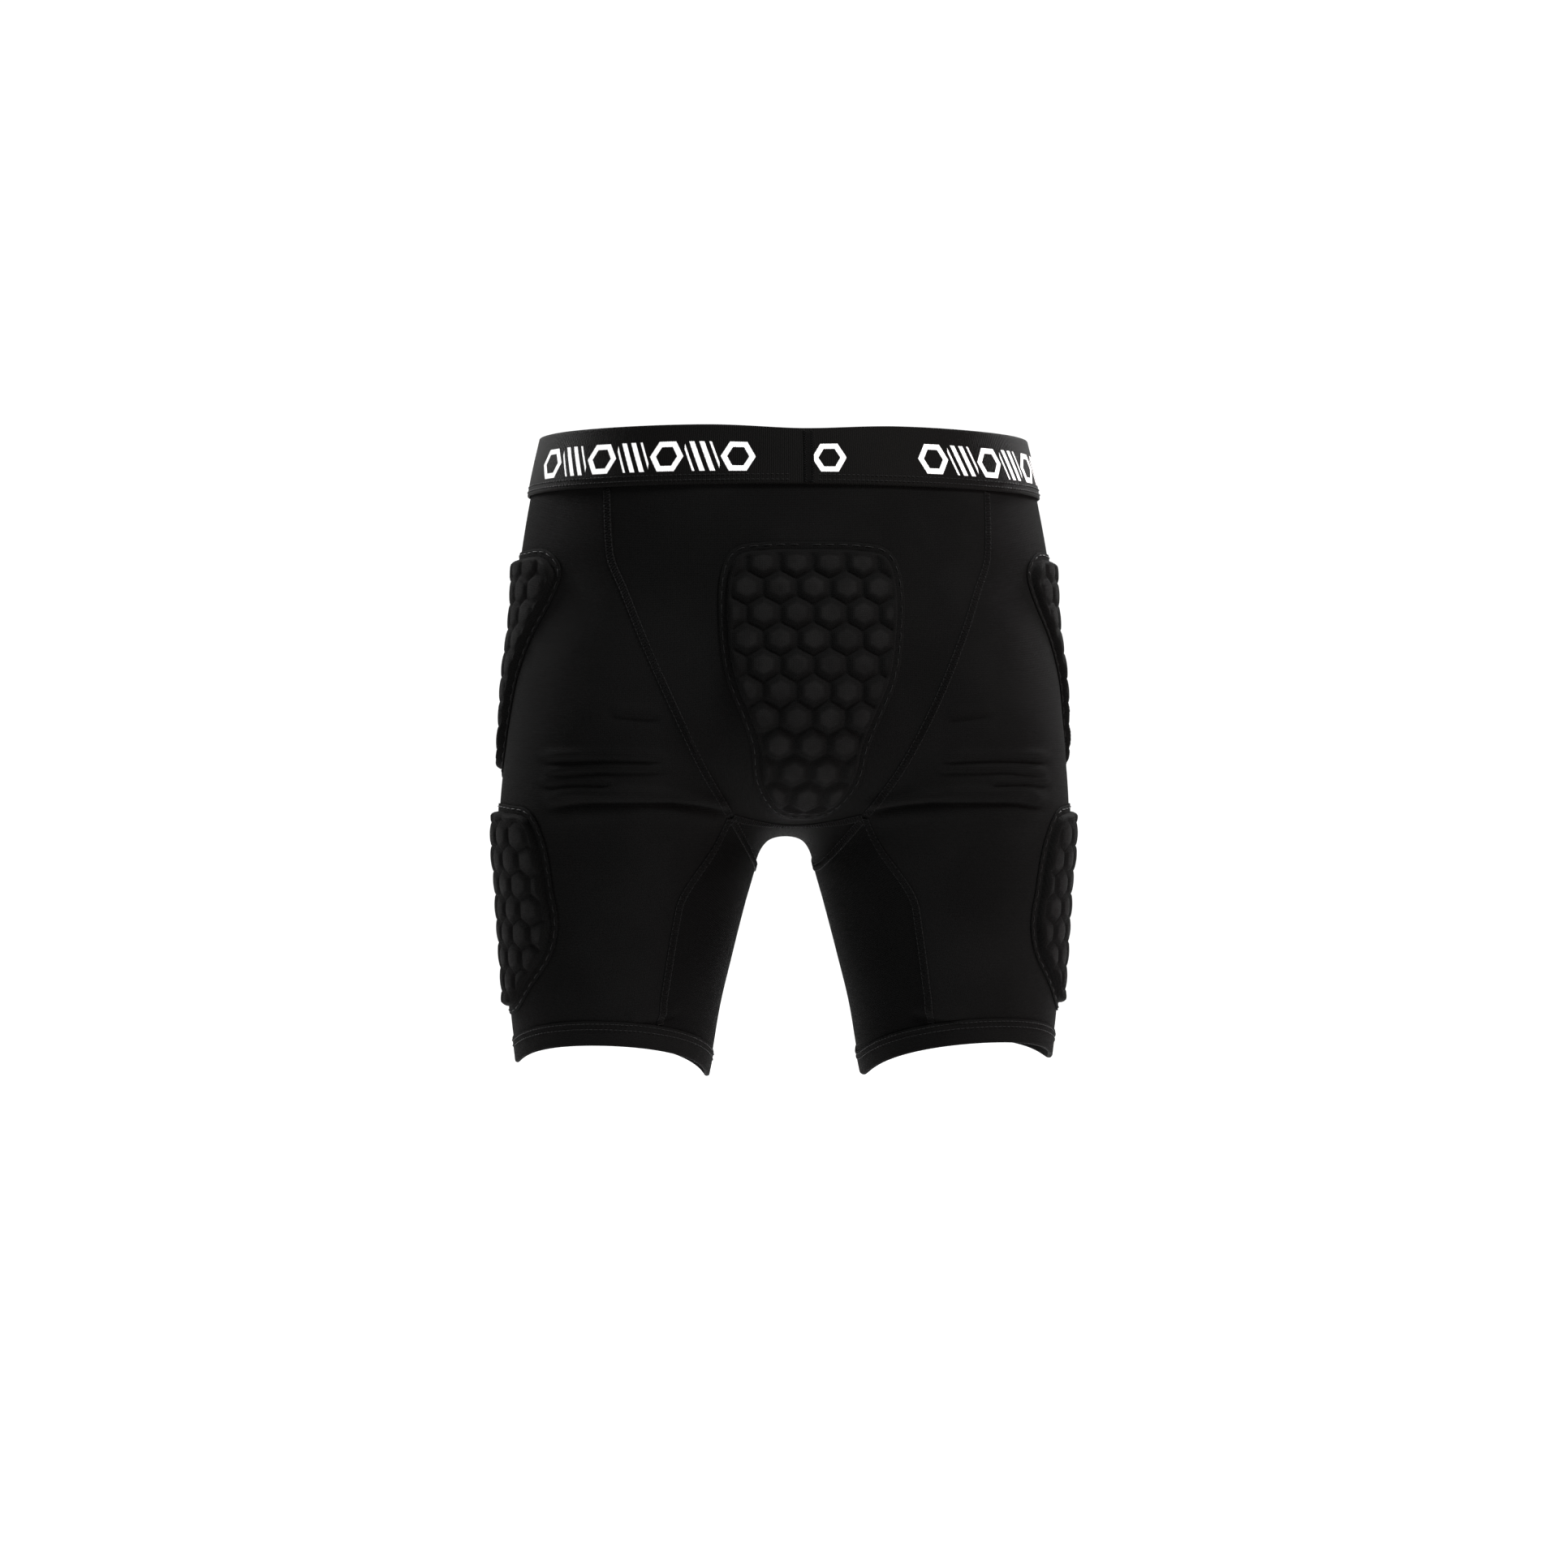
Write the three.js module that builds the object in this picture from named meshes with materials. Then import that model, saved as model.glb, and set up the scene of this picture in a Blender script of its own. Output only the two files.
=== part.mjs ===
// Padded impact shorts, worn shape, hollow. Millimetres, +Z up.
// The origin is the middle of the waist opening, level with the waistband's top edge.
// +X is to the right of someone looking at the seat (the wearer's right), and -Y is the wearer's back.
// Every layer follows one smooth body surface: a piece is placed by where it lies on that surface
// and by how far its two faces stand out from it.
import * as THREE from "three";

const { lerp, degToRad, smoothstep } = THREE.MathUtils;

// ---------------------------------------------------------------- driving dimensions
const WAIST_HALF_WIDTH = 156;
const WAIST_HALF_DEPTH = 109;
const HIP_HALF_WIDTH = 172;
const HIP_HALF_DEPTH = 121;
const HEM_HALF_WIDTH = 60;
const HEM_HALF_DEPTH = 69;
const CROTCH_DROP = 253; // waistband top to the lowest point of the crotch
const OUTSEAM = 401; // waistband top to the hem, down the side
const INSEAM_EXTRA = 10; // how much lower the hem hangs at the inner thigh than at the side
const HEM_ARCH_BACK = 20; // how far the hem rises behind the thigh
const HEM_ARCH_FRONT = 12; // how far the hem rises in front of the thigh

const HEM_SOFTNESS = 0.25; // how gently the hem's arches turn at the side

const FABRIC = 1.2; // knitted shell
const LAYER_GAP = 0.5; // between two layers that lie on each other
const SEAM_GAP = 0.6; // between two panels that meet edge to edge
const BAND_HEIGHT = 38; // waistband elastic
const BAND_THICKNESS = 1.6;
const BAND_OVERLAP = 8; // shell tucked behind the waistband's lower edge
const HEM_HEIGHT = 14; // folded hem band
const HEM_FABRIC = 0.8;
const SEAM_LIFT = 0.8; // shell to seam
const STRIP_WIDTH = 6; // flatlock seam
const STRIP_THICKNESS = 0.8;
const STITCH_THICKNESS = 0.6;
const COVERSTITCH_WIDTH = 4;

const PAD_HEIGHT = 6.6; // how far a pad stands out from the shell, cover and all
const COVER_FABRIC = 1.0;
const PAD_GAP = 0.7; // shell to cover, wide enough for the curve under the seat
const PAD_FLANGE = 5; // sewn-down rim round a pad cover
const PAD_CLEARANCE = 0.6; // foam to cover, all round
const FOAM_WEB = 1.4; // sheet that carries the foam cells
const FOAM_SLACK = 1.15; // room over the foam, for the cover's curve
const CELL_PITCH = 20;
const CELL_SQUASH = 0.9; // a cell's height against an even hexagon's
const CELL_GROOVE = 4.4; // width of the V between two cells, at their tops

// ---------------------------------------------------------------- body surface
// Pelvis stations: drop below the waistband's top, half width, half depth, y of the centre.
const PELVIS = [
  [0, WAIST_HALF_WIDTH, WAIST_HALF_DEPTH, -3],
  [38, lerp(WAIST_HALF_WIDTH, HIP_HALF_WIDTH, 0.5), lerp(WAIST_HALF_DEPTH, HIP_HALF_DEPTH, 0.33), -5],
  [80, HIP_HALF_WIDTH - 1.5, HIP_HALF_DEPTH - 3.5, -8],
  [130, HIP_HALF_WIDTH, HIP_HALF_DEPTH, -10],
  [CROTCH_DROP, HIP_HALF_WIDTH + 1, HIP_HALF_DEPTH, -10],
];
// Thigh stations: drop, x of the axis, half width, half depth, y of the axis.
// The axis and the half width are shares of the hip's half width, down to the lower thigh.
const LOWER_THIGH_HALF_WIDTH = 0.413 * HIP_HALF_WIDTH;
const LOWER_THIGH_HALF_DEPTH = 79;
const THIGH = [
  [60, 0.419 * HIP_HALF_WIDTH, 0.349 * HIP_HALF_WIDTH, 72, -5],
  [130, 0.512 * HIP_HALF_WIDTH, 0.424 * HIP_HALF_WIDTH, 93, -9],
  [190, 0.567 * HIP_HALF_WIDTH, 0.465 * HIP_HALF_WIDTH, 103, -11],
  [228, 0.583 * HIP_HALF_WIDTH, 0.4825 * HIP_HALF_WIDTH, 100, -9],
  [262, 0.587 * HIP_HALF_WIDTH, 0.48 * HIP_HALF_WIDTH, 92, -6],
  [300, 0.605 * HIP_HALF_WIDTH, 0.4465 * HIP_HALF_WIDTH, 85, -4],
  [OUTSEAM - 65, 0.626 * HIP_HALF_WIDTH, LOWER_THIGH_HALF_WIDTH, LOWER_THIGH_HALF_DEPTH, -4],
  [
    OUTSEAM - 27,
    0.644 * HIP_HALF_WIDTH,
    lerp(LOWER_THIGH_HALF_WIDTH, HEM_HALF_WIDTH, 0.5),
    lerp(LOWER_THIGH_HALF_DEPTH, HEM_HALF_DEPTH, 0.55),
    -5,
  ],
  [OUTSEAM + 11, 0.651 * HIP_HALF_WIDTH, HEM_HALF_WIDTH, HEM_HALF_DEPTH, -6],
];
const SEAT_TURN_DROP = 150; // below this the pelvis closes in towards the crotch
const SEAT_TURN_POWER = 2.2;
const THIGH_BLEND = 30; // how softly the two thighs run into each other
const PELVIS_BLEND = 26;
const PELVIS_REACH = 130; // turns the pelvis's relative distance into millimetres
const THIGH_REACH = 84;

/** The stations' columns at one drop, by cubic Hermite pieces. */
function station(table, drop) {
  const last = table.length - 1;
  const d = Math.min(Math.max(drop, table[0][0]), table[last][0]);
  const i = Math.max(0, Math.min(last - 1, table.findIndex((row) => row[0] >= d) - 1));
  const span = table[i + 1][0] - table[i][0];
  const t = (d - table[i][0]) / span;
  const slope = (k, column) => {
    const a = table[Math.max(k - 1, 0)];
    const b = table[Math.min(k + 1, last)];
    return (b[column] - a[column]) / (b[0] - a[0]);
  };
  return table[0].slice(1).map((_, n) => {
    const column = n + 1;
    const [from, to] = [table[i][column], table[i + 1][column]];
    const [leave, arrive] = [slope(i, column) * span, slope(i + 1, column) * span];
    return (
      (2 * t ** 3 - 3 * t ** 2 + 1) * from +
      (t ** 3 - 2 * t ** 2 + t) * leave +
      (3 * t ** 2 - 2 * t ** 3) * to +
      (t ** 3 - t ** 2) * arrive
    );
  });
}

/** The smaller of two distances, rounded over where they are within soft of each other. */
function softMin(a, b, soft) {
  const h = Math.max(soft - Math.abs(a - b), 0) / soft;
  return Math.min(a, b) - (h * h * soft) / 4;
}

/** Roughly how far a point lies outside the body, negative inside. */
function outside(x, y, z) {
  const drop = -z;
  const [width, depth, middle] = station(PELVIS, drop);
  const turn = Math.max(0, (drop - SEAT_TURN_DROP) / (CROTCH_DROP - SEAT_TURN_DROP));
  const flat = (x / width) ** 2 + ((y - middle) / depth) ** 2;
  const share = (flat ** (SEAT_TURN_POWER / 2) + turn ** SEAT_TURN_POWER) ** (1 / SEAT_TURN_POWER);
  const [axisX, halfWidth, halfDepth, axisY] = station(THIGH, drop);
  const thigh = (side) =>
    (Math.hypot((side * x - axisX) / halfWidth, (y - axisY) / halfDepth) - 1) * THIGH_REACH;
  return softMin(softMin(thigh(1), thigh(-1), THIGH_BLEND), (share - 1) * PELVIS_REACH, PELVIS_BLEND);
}

const FAR = 200; // further from any axis than the body surface is

/** The point where a ray that starts inside leaves the body. */
function cast(origin, direction) {
  let [near, far] = [0, FAR];
  const at = (s) => origin.clone().addScaledVector(direction, s);
  for (let i = 0; i < 40; i++) {
    const middle = (near + far) / 2;
    const p = at(middle);
    if (outside(p.x, p.y, p.z) < 0) near = middle;
    else far = middle;
  }
  return at((near + far) / 2);
}

/** The outward normal of the body surface. */
function normalAt(p) {
  const step = 0.5; // mm
  return new THREE.Vector3(
    outside(p.x + step, p.y, p.z) - outside(p.x - step, p.y, p.z),
    outside(p.x, p.y + step, p.z) - outside(p.x, p.y - step, p.z),
    outside(p.x, p.y, p.z + step) - outside(p.x, p.y, p.z - step),
  ).normalize();
}

/** A surface point moved out by height along the normal. */
const lift = (p, height) => p.clone().addScaledVector(normalAt(p), height);

/** A nearby point brought onto the body surface. */
function settle(p) {
  const moved = p.clone();
  for (let i = 0; i < 12; i++) {
    const n = normalAt(moved);
    moved.addScaledVector(n, -0.7 * outside(moved.x, moved.y, moved.z));
  }
  return moved;
}

const BEHIND = -1;
const AHEAD = 1;

/** The point of the seat (BEHIND) or the front (AHEAD) at one x and drop. */
function onFace(face, x, drop) {
  return cast(new THREE.Vector3(x, station(PELVIS, drop)[2], -drop), new THREE.Vector3(0, face, 0));
}

/** The point at an angle round the right thigh's axis: 0 is the side, -90 behind, 90 in front. */
function onThigh(angle, drop) {
  const [axisX, , , axisY] = station(THIGH, drop);
  const turn = degToRad(angle);
  return cast(new THREE.Vector3(axisX, axisY, -drop), new THREE.Vector3(Math.cos(turn), Math.sin(turn), 0));
}

/** The angle round the right thigh's axis at which a point lies. */
function thighAngle(p) {
  const [axisX, , , axisY] = station(THIGH, -p.z);
  return THREE.MathUtils.radToDeg(Math.atan2(p.y - axisY, p.x - axisX));
}

// ---------------------------------------------------------------- seam lines
const SHELL_TOP = BAND_HEIGHT - BAND_OVERLAP;
const JOIN_DROP = CROTCH_DROP - 10; // where seat or front, thigh and inner thigh panels meet
const GUSSET_DIP = 34; // how far the gusset runs down the inner thigh
const CENTRE_DIP = 6; // how much further the seat and front panels reach at the middle
const GUSSET_EYE_DROP = CROTCH_DROP + 47; // a point between the thighs from which the whole gusset is seen
const GUSSET_SPAN = 90; // turns half a seam's gap into a share of the gusset
const INNER_SEAM_ANGLE = 110;
const INNER_HALF_ARC = 90; // these two turn half a seam's gap into a share of the inner thigh panel
const INNER_LENGTH = 115;
const INNER_SEAM_SETTLES = 0.45; // share of the thigh in which the seam swings to that angle

// Half widths of the seat and front panels: drop, half width.
const PANEL_EDGE = {
  [BEHIND]: [[0, 119], [80, 118], [103, 110], [148, 93], [190, 74], [215, 61], [JOIN_DROP, 43]],
  [AHEAD]: [[0, 92], [80, 86], [120, 78], [190, 60], [JOIN_DROP, 40]],
};

/** Drop of the hem at an angle round the thigh. */
function hemDrop(angle) {
  const turn = degToRad(angle);
  const soft = HEM_SOFTNESS;
  const arch = Math.sin(turn) < 0 ? HEM_ARCH_BACK : HEM_ARCH_FRONT;
  const rise = (Math.sqrt(Math.sin(turn) ** 2 + soft ** 2) - soft) / (Math.sqrt(1 + soft ** 2) - soft);
  return OUTSEAM + (INSEAM_EXTRA * (1 - Math.cos(turn))) / 2 - arch * rise;
}

/** The seam between seat or front panel and thigh panel, share 0 at the top to 1 at the join. */
function panelEdge(face, share, inset = 0) {
  const drop = lerp(SHELL_TOP, JOIN_DROP, share);
  return onFace(face, station(PANEL_EDGE[face], drop)[0] + inset, drop);
}

/** The angle of the seam between thigh and inner thigh panels, share 0 at the join to 1 at the hem. */
function innerSeamAngle(face, share) {
  return lerp(thighAngle(panelEdge(face, 1)), face * INNER_SEAM_ANGLE, smoothstep(share, 0, INNER_SEAM_SETTLES));
}

/** A point of the leg at an angle: share 0 at the given top, 1 level with the hem band's top, 2 at the hem. */
function onLeg(angle, share, top = JOIN_DROP) {
  const hem = hemDrop(angle);
  const bandTop = hem - HEM_HEIGHT;
  return onThigh(angle, share > 1 ? lerp(bandTop, hem, share - 1) : lerp(top, bandTop, share));
}

/** A point of the inner thigh, across from -1 behind to 1 in front, share 0 at the gusset and then as on the leg. */
function onInnerThigh(across, share) {
  const [back, front] = [innerSeamAngle(BEHIND, share) + 360, innerSeamAngle(AHEAD, share)];
  const angle = lerp(back, front, (across + 1) / 2);
  return onLeg(angle, share, JOIN_DROP + GUSSET_DIP * (1 - across ** 2));
}

// ---------------------------------------------------------------- solids
/** count + 1 evenly spaced shares from 0 to 1. */
const steps = (count) => Array.from({ length: count + 1 }, (_, i) => i / count);

/** A closed mesh from vertices and triangles, turned to face out. */
function closedGeometry(points, triangles) {
  let volume = 0;
  for (const [a, b, c] of triangles)
    volume += points[a].dot(points[b].clone().cross(points[c])) / 6;
  const index = triangles.flatMap(([a, b, c]) => (volume < 0 ? [a, c, b] : [a, b, c]));
  const geometry = new THREE.BufferGeometry();
  geometry.setAttribute("position", new THREE.Float32BufferAttribute(points.flatMap((p) => p.toArray()), 3));
  geometry.setIndex(index);
  return geometry;
}

/** Two triangles for each cell of a wrapped or open grid of vertex numbers. */
function gridTriangles(rows, columns, number, wrapRows = false, wrapColumns = false) {
  const triangles = [];
  for (let r = 0; r < (wrapRows ? rows : rows - 1); r++)
    for (let c = 0; c < (wrapColumns ? columns : columns - 1); c++) {
      const [r2, c2] = [(r + 1) % rows, (c + 1) % columns];
      triangles.push([number(r, c), number(r, c2), number(r2, c2)]);
      triangles.push([number(r, c), number(r2, c2), number(r2, c)]);
    }
  return triangles;
}

/** A sheet of fabric: rows of surface points, given a face at each of two heights. */
function sheet(rows, inner, outer) {
  const columns = rows[0].length;
  const layer = rows.length * columns;
  const points = [inner, outer].flatMap((height) => rows.flatMap((row) => row.map((p) => lift(p, height))));
  const at = (r, c) => r * columns + c;
  const faces = gridTriangles(rows.length, columns, at);
  const triangles = [
    ...faces.map(([a, b, c]) => [a, c, b]),
    ...faces.map((face) => face.map((v) => v + layer)),
  ];
  const rim = [
    ...rows[0].map((_, c) => at(0, c)),
    ...rows.slice(1).map((_, r) => at(r + 1, columns - 1)),
    ...rows[0].slice(1).map((_, c) => at(rows.length - 1, columns - 2 - c)),
    ...rows.slice(1, -1).map((_, r) => at(rows.length - 2 - r, 0)),
  ];
  rim.forEach((v, i) => {
    const next = rim[(i + 1) % rim.length];
    triangles.push([v, next, next + layer], [v, next + layer, v + layer]);
  });
  return closedGeometry(points, triangles);
}

/** A closed ring: sections that each hold the same loop of points. */
function ring(sections) {
  const loop = sections[0].length;
  const at = (r, c) => r * loop + c;
  return closedGeometry(sections.flat(), gridTriangles(sections.length, loop, at, true, true));
}

/** A flat seam that follows a line of surface points. */
function seam(line, width, inner, outer) {
  const rows = line.map((p, i) => {
    const along = line[Math.min(i + 1, line.length - 1)].clone().sub(line[Math.max(i - 1, 0)]);
    const across = normalAt(p).cross(along).normalize();
    return [-0.5, 0.5].map((side) => settle(p.clone().addScaledVector(across, side * width)));
  });
  return sheet(rows, inner, outer);
}

// ---------------------------------------------------------------- heights of the layers
const SEAM_FOOT = FABRIC + SEAM_LIFT;
const SEAM_TOP = SEAM_FOOT + STRIP_THICKNESS;
const BAND_FOOT = FABRIC + LAYER_GAP;
const BAND_TOP = BAND_FOOT + BAND_THICKNESS;
const COVER_FOOT = FABRIC + PAD_GAP;
const COVER_TOP = FABRIC + PAD_HEIGHT;
const FLANGE_TOP = COVER_FOOT + COVER_FABRIC;
const FOAM_FOOT = COVER_FOOT;
const FOAM_TOP = COVER_TOP - COVER_FABRIC - FOAM_SLACK;

// ---------------------------------------------------------------- panels, all for the right side
const PANEL_ROWS = 10;
const PANEL_COLUMNS = 10;
const LEG_ROWS = 6;
const LEG_COLUMNS = 14;
const INNER_COLUMNS = 8;
const WAIST_COLUMNS = 48;
const GUSSET_ROWS = 10;
const GUSSET_COLUMNS = 8;

/** Shares down the seat and front, closer together towards the fold under the seat. */
const upperSteps = () => steps(PANEL_ROWS).map((s) => 1 - (1 - s) ** 1.3);

/** Shares down the thigh, closer together towards the fold under the seat. */
const lowerSteps = () => [...steps(LEG_ROWS).map((s) => s ** 1.4), 2];

/** Seat or front panel. */
function centrePanel(face) {
  const rows = upperSteps().map((share) => {
    const half = station(PANEL_EDGE[face], lerp(SHELL_TOP, JOIN_DROP, share))[0] - SEAM_GAP / 2;
    return steps(PANEL_COLUMNS).map((s) => {
      const across = 2 * s - 1;
      const dip = CENTRE_DIP * (1 - across ** 2);
      return onFace(face, across * half, lerp(SHELL_TOP, JOIN_DROP + dip - SEAM_GAP / 2, share));
    });
  });
  return sheet(rows, 0, FABRIC);
}

/** Thigh panel: round the side from the seat seam to the front seam, waistband to hem. */
function thighPanel() {
  const upper = upperSteps().map((share) => {
    const [back, front] = [BEHIND, AHEAD].map((face) => thighAngle(panelEdge(face, share, SEAM_GAP / 2)));
    return steps(LEG_COLUMNS).map((s) => onThigh(lerp(back, front, s), lerp(SHELL_TOP, JOIN_DROP, share)));
  });
  const lower = lowerSteps().slice(1).map((share) => {
    const gap = THREE.MathUtils.radToDeg(SEAM_GAP / 2 / THIGH_REACH);
    const [back, front] = [innerSeamAngle(BEHIND, share) + gap, innerSeamAngle(AHEAD, share) - gap];
    return steps(LEG_COLUMNS).map((s) => onLeg(lerp(back, front, s), share));
  });
  return sheet([...upper, ...lower], 0, FABRIC);
}

/** Inner thigh panel, gusset to hem. */
function innerThighPanel() {
  const across = 1 - SEAM_GAP / 2 / INNER_HALF_ARC;
  const top = SEAM_GAP / 2 / INNER_LENGTH;
  const rows = lowerSteps().map((share) =>
    steps(INNER_COLUMNS).map((s) => onInnerThigh((2 * s - 1) * across, Math.max(top, share))),
  );
  return sheet(rows, 0, FABRIC);
}

/** The seat or front panel's lower edge, across from -1 to 1. */
const centreEdge = (face, across) =>
  onFace(face, across * station(PANEL_EDGE[face], JOIN_DROP)[0], JOIN_DROP + CENTRE_DIP * (1 - across ** 2));

/** The first point of the surface seen from below the crotch, at a slope to the side. */
function fromBelow(slope, y) {
  const eye = new THREE.Vector3(0, y, -GUSSET_EYE_DROP);
  const direction = new THREE.Vector3(Math.sin(slope), 0, Math.cos(slope));
  let travel = 0;
  for (let i = 0; i < 60; i++) {
    const p = eye.clone().addScaledVector(direction, travel);
    travel += 0.5 * outside(p.x, p.y, p.z);
  }
  return eye.addScaledVector(direction, travel);
}

/** The slope and y at which a surface point is seen from below the crotch. */
const seenFromBelow = (p) => [Math.atan2(p.x, p.z + GUSSET_EYE_DROP), p.y];

/** Crotch gusset: a saddle between seat, front and the two inner thighs. */
function gusset() {
  const inset = SEAM_GAP / 2 / GUSSET_SPAN;
  const [back, front] = [BEHIND, AHEAD].map((face) => (u) => seenFromBelow(centreEdge(face, 2 * u - 1)));
  const right = (v) => seenFromBelow(onInnerThigh(2 * v - 1, 0));
  const rows = steps(GUSSET_ROWS).map((row) =>
    steps(GUSSET_COLUMNS).map((column) => {
      const [u, v] = [lerp(inset, 1 - inset, column), lerp(inset, 1 - inset, row)];
      const [slope, y] = [0, 1].map((k) => {
        const mirror = k === 0 ? -1 : 1;
        const sides = lerp(mirror * right(v)[k], right(v)[k], u);
        const ends = lerp(back(u)[k], front(u)[k], v);
        const corners = lerp(lerp(back(0)[k], back(1)[k], u), lerp(front(0)[k], front(1)[k], u), v);
        return sides + ends - corners;
      });
      return fromBelow(slope, y);
    }),
  );
  return sheet(rows, 0, FABRIC);
}

// ---------------------------------------------------------------- waistband and hems
/** A point of the waistband, turn 0 to 1 from the middle of the back, anticlockwise from above. */
function onWaist(turn, drop) {
  const [width, depth, middle] = station(PELVIS, drop);
  const angle = 2 * Math.PI * turn - Math.PI / 2;
  const direction = new THREE.Vector3(width * Math.cos(angle), depth * Math.sin(angle), 0).normalize();
  return cast(new THREE.Vector3(0, middle, -drop), direction);
}

/** The elastic: one strip whose two ends meet at the middle of the back. */
function waistband() {
  const ends = SEAM_GAP / 2 / (2 * Math.PI * HIP_HALF_WIDTH);
  const rows = steps(2).map((share) =>
    steps(WAIST_COLUMNS).map((s) => onWaist(lerp(ends, 1 - ends, s), lerp(0, BAND_HEIGHT, share))),
  );
  return sheet(rows, BAND_FOOT, BAND_TOP);
}

const JOIN_TAPE_WIDTH = 9;

/** Stitched tape over the elastic's two ends. */
function waistbandJoin() {
  const margin = 2;
  const line = steps(3).map((share) => onWaist(0, lerp(margin, BAND_HEIGHT - margin, share)));
  return seam(line, JOIN_TAPE_WIDTH, BAND_TOP + LAYER_GAP, BAND_TOP + LAYER_GAP + STITCH_THICKNESS);
}

/** Coverstitch that holds the elastic to the shell, all round but for the join tape. */
function waistbandStitch() {
  const start = (JOIN_TAPE_WIDTH / 2 + 2) / (2 * Math.PI * HIP_HALF_DEPTH);
  const line = steps(WAIST_COLUMNS).map((s) => onWaist(lerp(start, 1 - start, s), BAND_HEIGHT - COVERSTITCH_WIDTH));
  return seam(line, COVERSTITCH_WIDTH, BAND_TOP + LAYER_GAP, BAND_TOP + LAYER_GAP + STITCH_THICKNESS);
}

/** Angles at which the hem's sections stand: those of the panels' own columns. */
function hemAngles() {
  const [back, front] = [BEHIND, AHEAD].map((face) => innerSeamAngle(face, 1));
  return [
    ...steps(LEG_COLUMNS).map((s) => lerp(back, front, s)),
    ...steps(INNER_COLUMNS).slice(1, -1).map((s) => lerp(front, back + 360, s)),
  ];
}

/** A ring round the thigh's end with the given loop of [height, distance above the hem]. */
function hemRing(loop) {
  return ring(
    hemAngles().map((angle) => loop.map(([height, rise]) => lift(onThigh(angle, hemDrop(angle) - rise), height))),
  );
}

/** Hem band folded round the panels' lower edge. */
function hemBand() {
  const [out, into] = [FABRIC + LAYER_GAP, -LAYER_GAP];
  const fold = -LAYER_GAP;
  return hemRing([
    [out + HEM_FABRIC, HEM_HEIGHT],
    [out + HEM_FABRIC, fold - HEM_FABRIC],
    [into - HEM_FABRIC, fold - HEM_FABRIC],
    [into - HEM_FABRIC, HEM_HEIGHT],
    [into, HEM_HEIGHT],
    [into, fold],
    [out, fold],
    [out, HEM_HEIGHT],
  ]);
}

/** Twin-needle stitch round the hem band. */
function hemStitch() {
  const foot = FABRIC + LAYER_GAP + HEM_FABRIC + LAYER_GAP;
  const [low, high] = [HEM_HEIGHT - COVERSTITCH_WIDTH - 1, HEM_HEIGHT - 1];
  return hemRing([
    [foot + STITCH_THICKNESS, high],
    [foot + STITCH_THICKNESS, low],
    [foot, low],
    [foot, high],
  ]);
}

// ---------------------------------------------------------------- pads
// A pad's outline is a closed curve through [across, up] points about its own middle.
const TAIL_MIDDLE = 146; // drop of the tailbone pad's middle
const HIP_MIDDLE = 147;
const THIGH_MIDDLE = 302;
const HIP_RADIUS = 0.535 * HIP_HALF_WIDTH; // turns a distance round the hip into an angle
const THIGH_RADIUS = 80;

const tailSide = [[29, 65], [44, 62], [49.5, 50], [50, 12], [46, -12], [37, -34], [30.5, -52], [26.5, -74], [15, -89]];
const TAILBONE = {
  name: "tailbone",
  outline: [[0, 65.5], ...tailSide, [0, -92], ...tailSide.map(([s, t]) => [-s, t]).reverse()],
  place: (s, t) => onFace(BEHIND, s, TAIL_MIDDLE - t),
  rings: [0.3, 0.55, 0.73, 0.87],
  firstCell: [0, 12],
};
const HIP = {
  name: "hip",
  outline: [
    [0, 66], [40, 65], [55, 58], [61, 40], [61, 5], [56, -32], [46, -55], [30, -65], [12, -64],
    [-2, -54], [-12, -34], [-26, -6], [-42, 20], [-58, 42], [-62, 56], [-50, 65], [-24, 66],
  ],
  place: (s, t) => onThigh(THREE.MathUtils.radToDeg(s / HIP_RADIUS), HIP_MIDDLE - t),
  rings: [0.25, 0.5, 0.75],
  firstCell: [0, 0],
};
const thighSide = [[34, 59], [56, 56], [63, 44], [69, 12], [73, -10], [68, -27], [50, -45], [33, -58], [18, -62]];
const THIGH_PAD = {
  name: "thigh",
  outline: [[0, 60], ...thighSide, [0, -62], ...thighSide.map(([s, t]) => [-s, t]).reverse()],
  place: (s, t) => onThigh(THREE.MathUtils.radToDeg(s / THIGH_RADIUS), THIGH_MIDDLE - t),
  rings: [0.25, 0.5, 0.75],
  firstCell: [0, 0],
};

const OUTLINE_POINTS = 28;

/** Evenly spaced [across, up] points along a pad's outline. */
function outlinePoints(pad, count = OUTLINE_POINTS) {
  const curve = new THREE.CatmullRomCurve3(
    pad.outline.map(([s, t]) => new THREE.Vector3(s, t, 0)),
    true,
    "centripetal",
  );
  return curve.getSpacedPoints(count).slice(0, -1);
}

/** The outline moved in by inset (out where it is negative), then shrunk to share of its size. */
function insetPoints(pad, inset, share = 1) {
  const points = outlinePoints(pad);
  return points.map((p, i) => {
    const along = points[(i + 1) % points.length].clone().sub(points[(i + points.length - 1) % points.length]);
    const inward = new THREE.Vector3(along.y, -along.x, 0).normalize();
    if (inward.dot(p) > 0) inward.negate();
    return p.clone().addScaledVector(inward, inset).multiplyScalar(share);
  });
}

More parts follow.
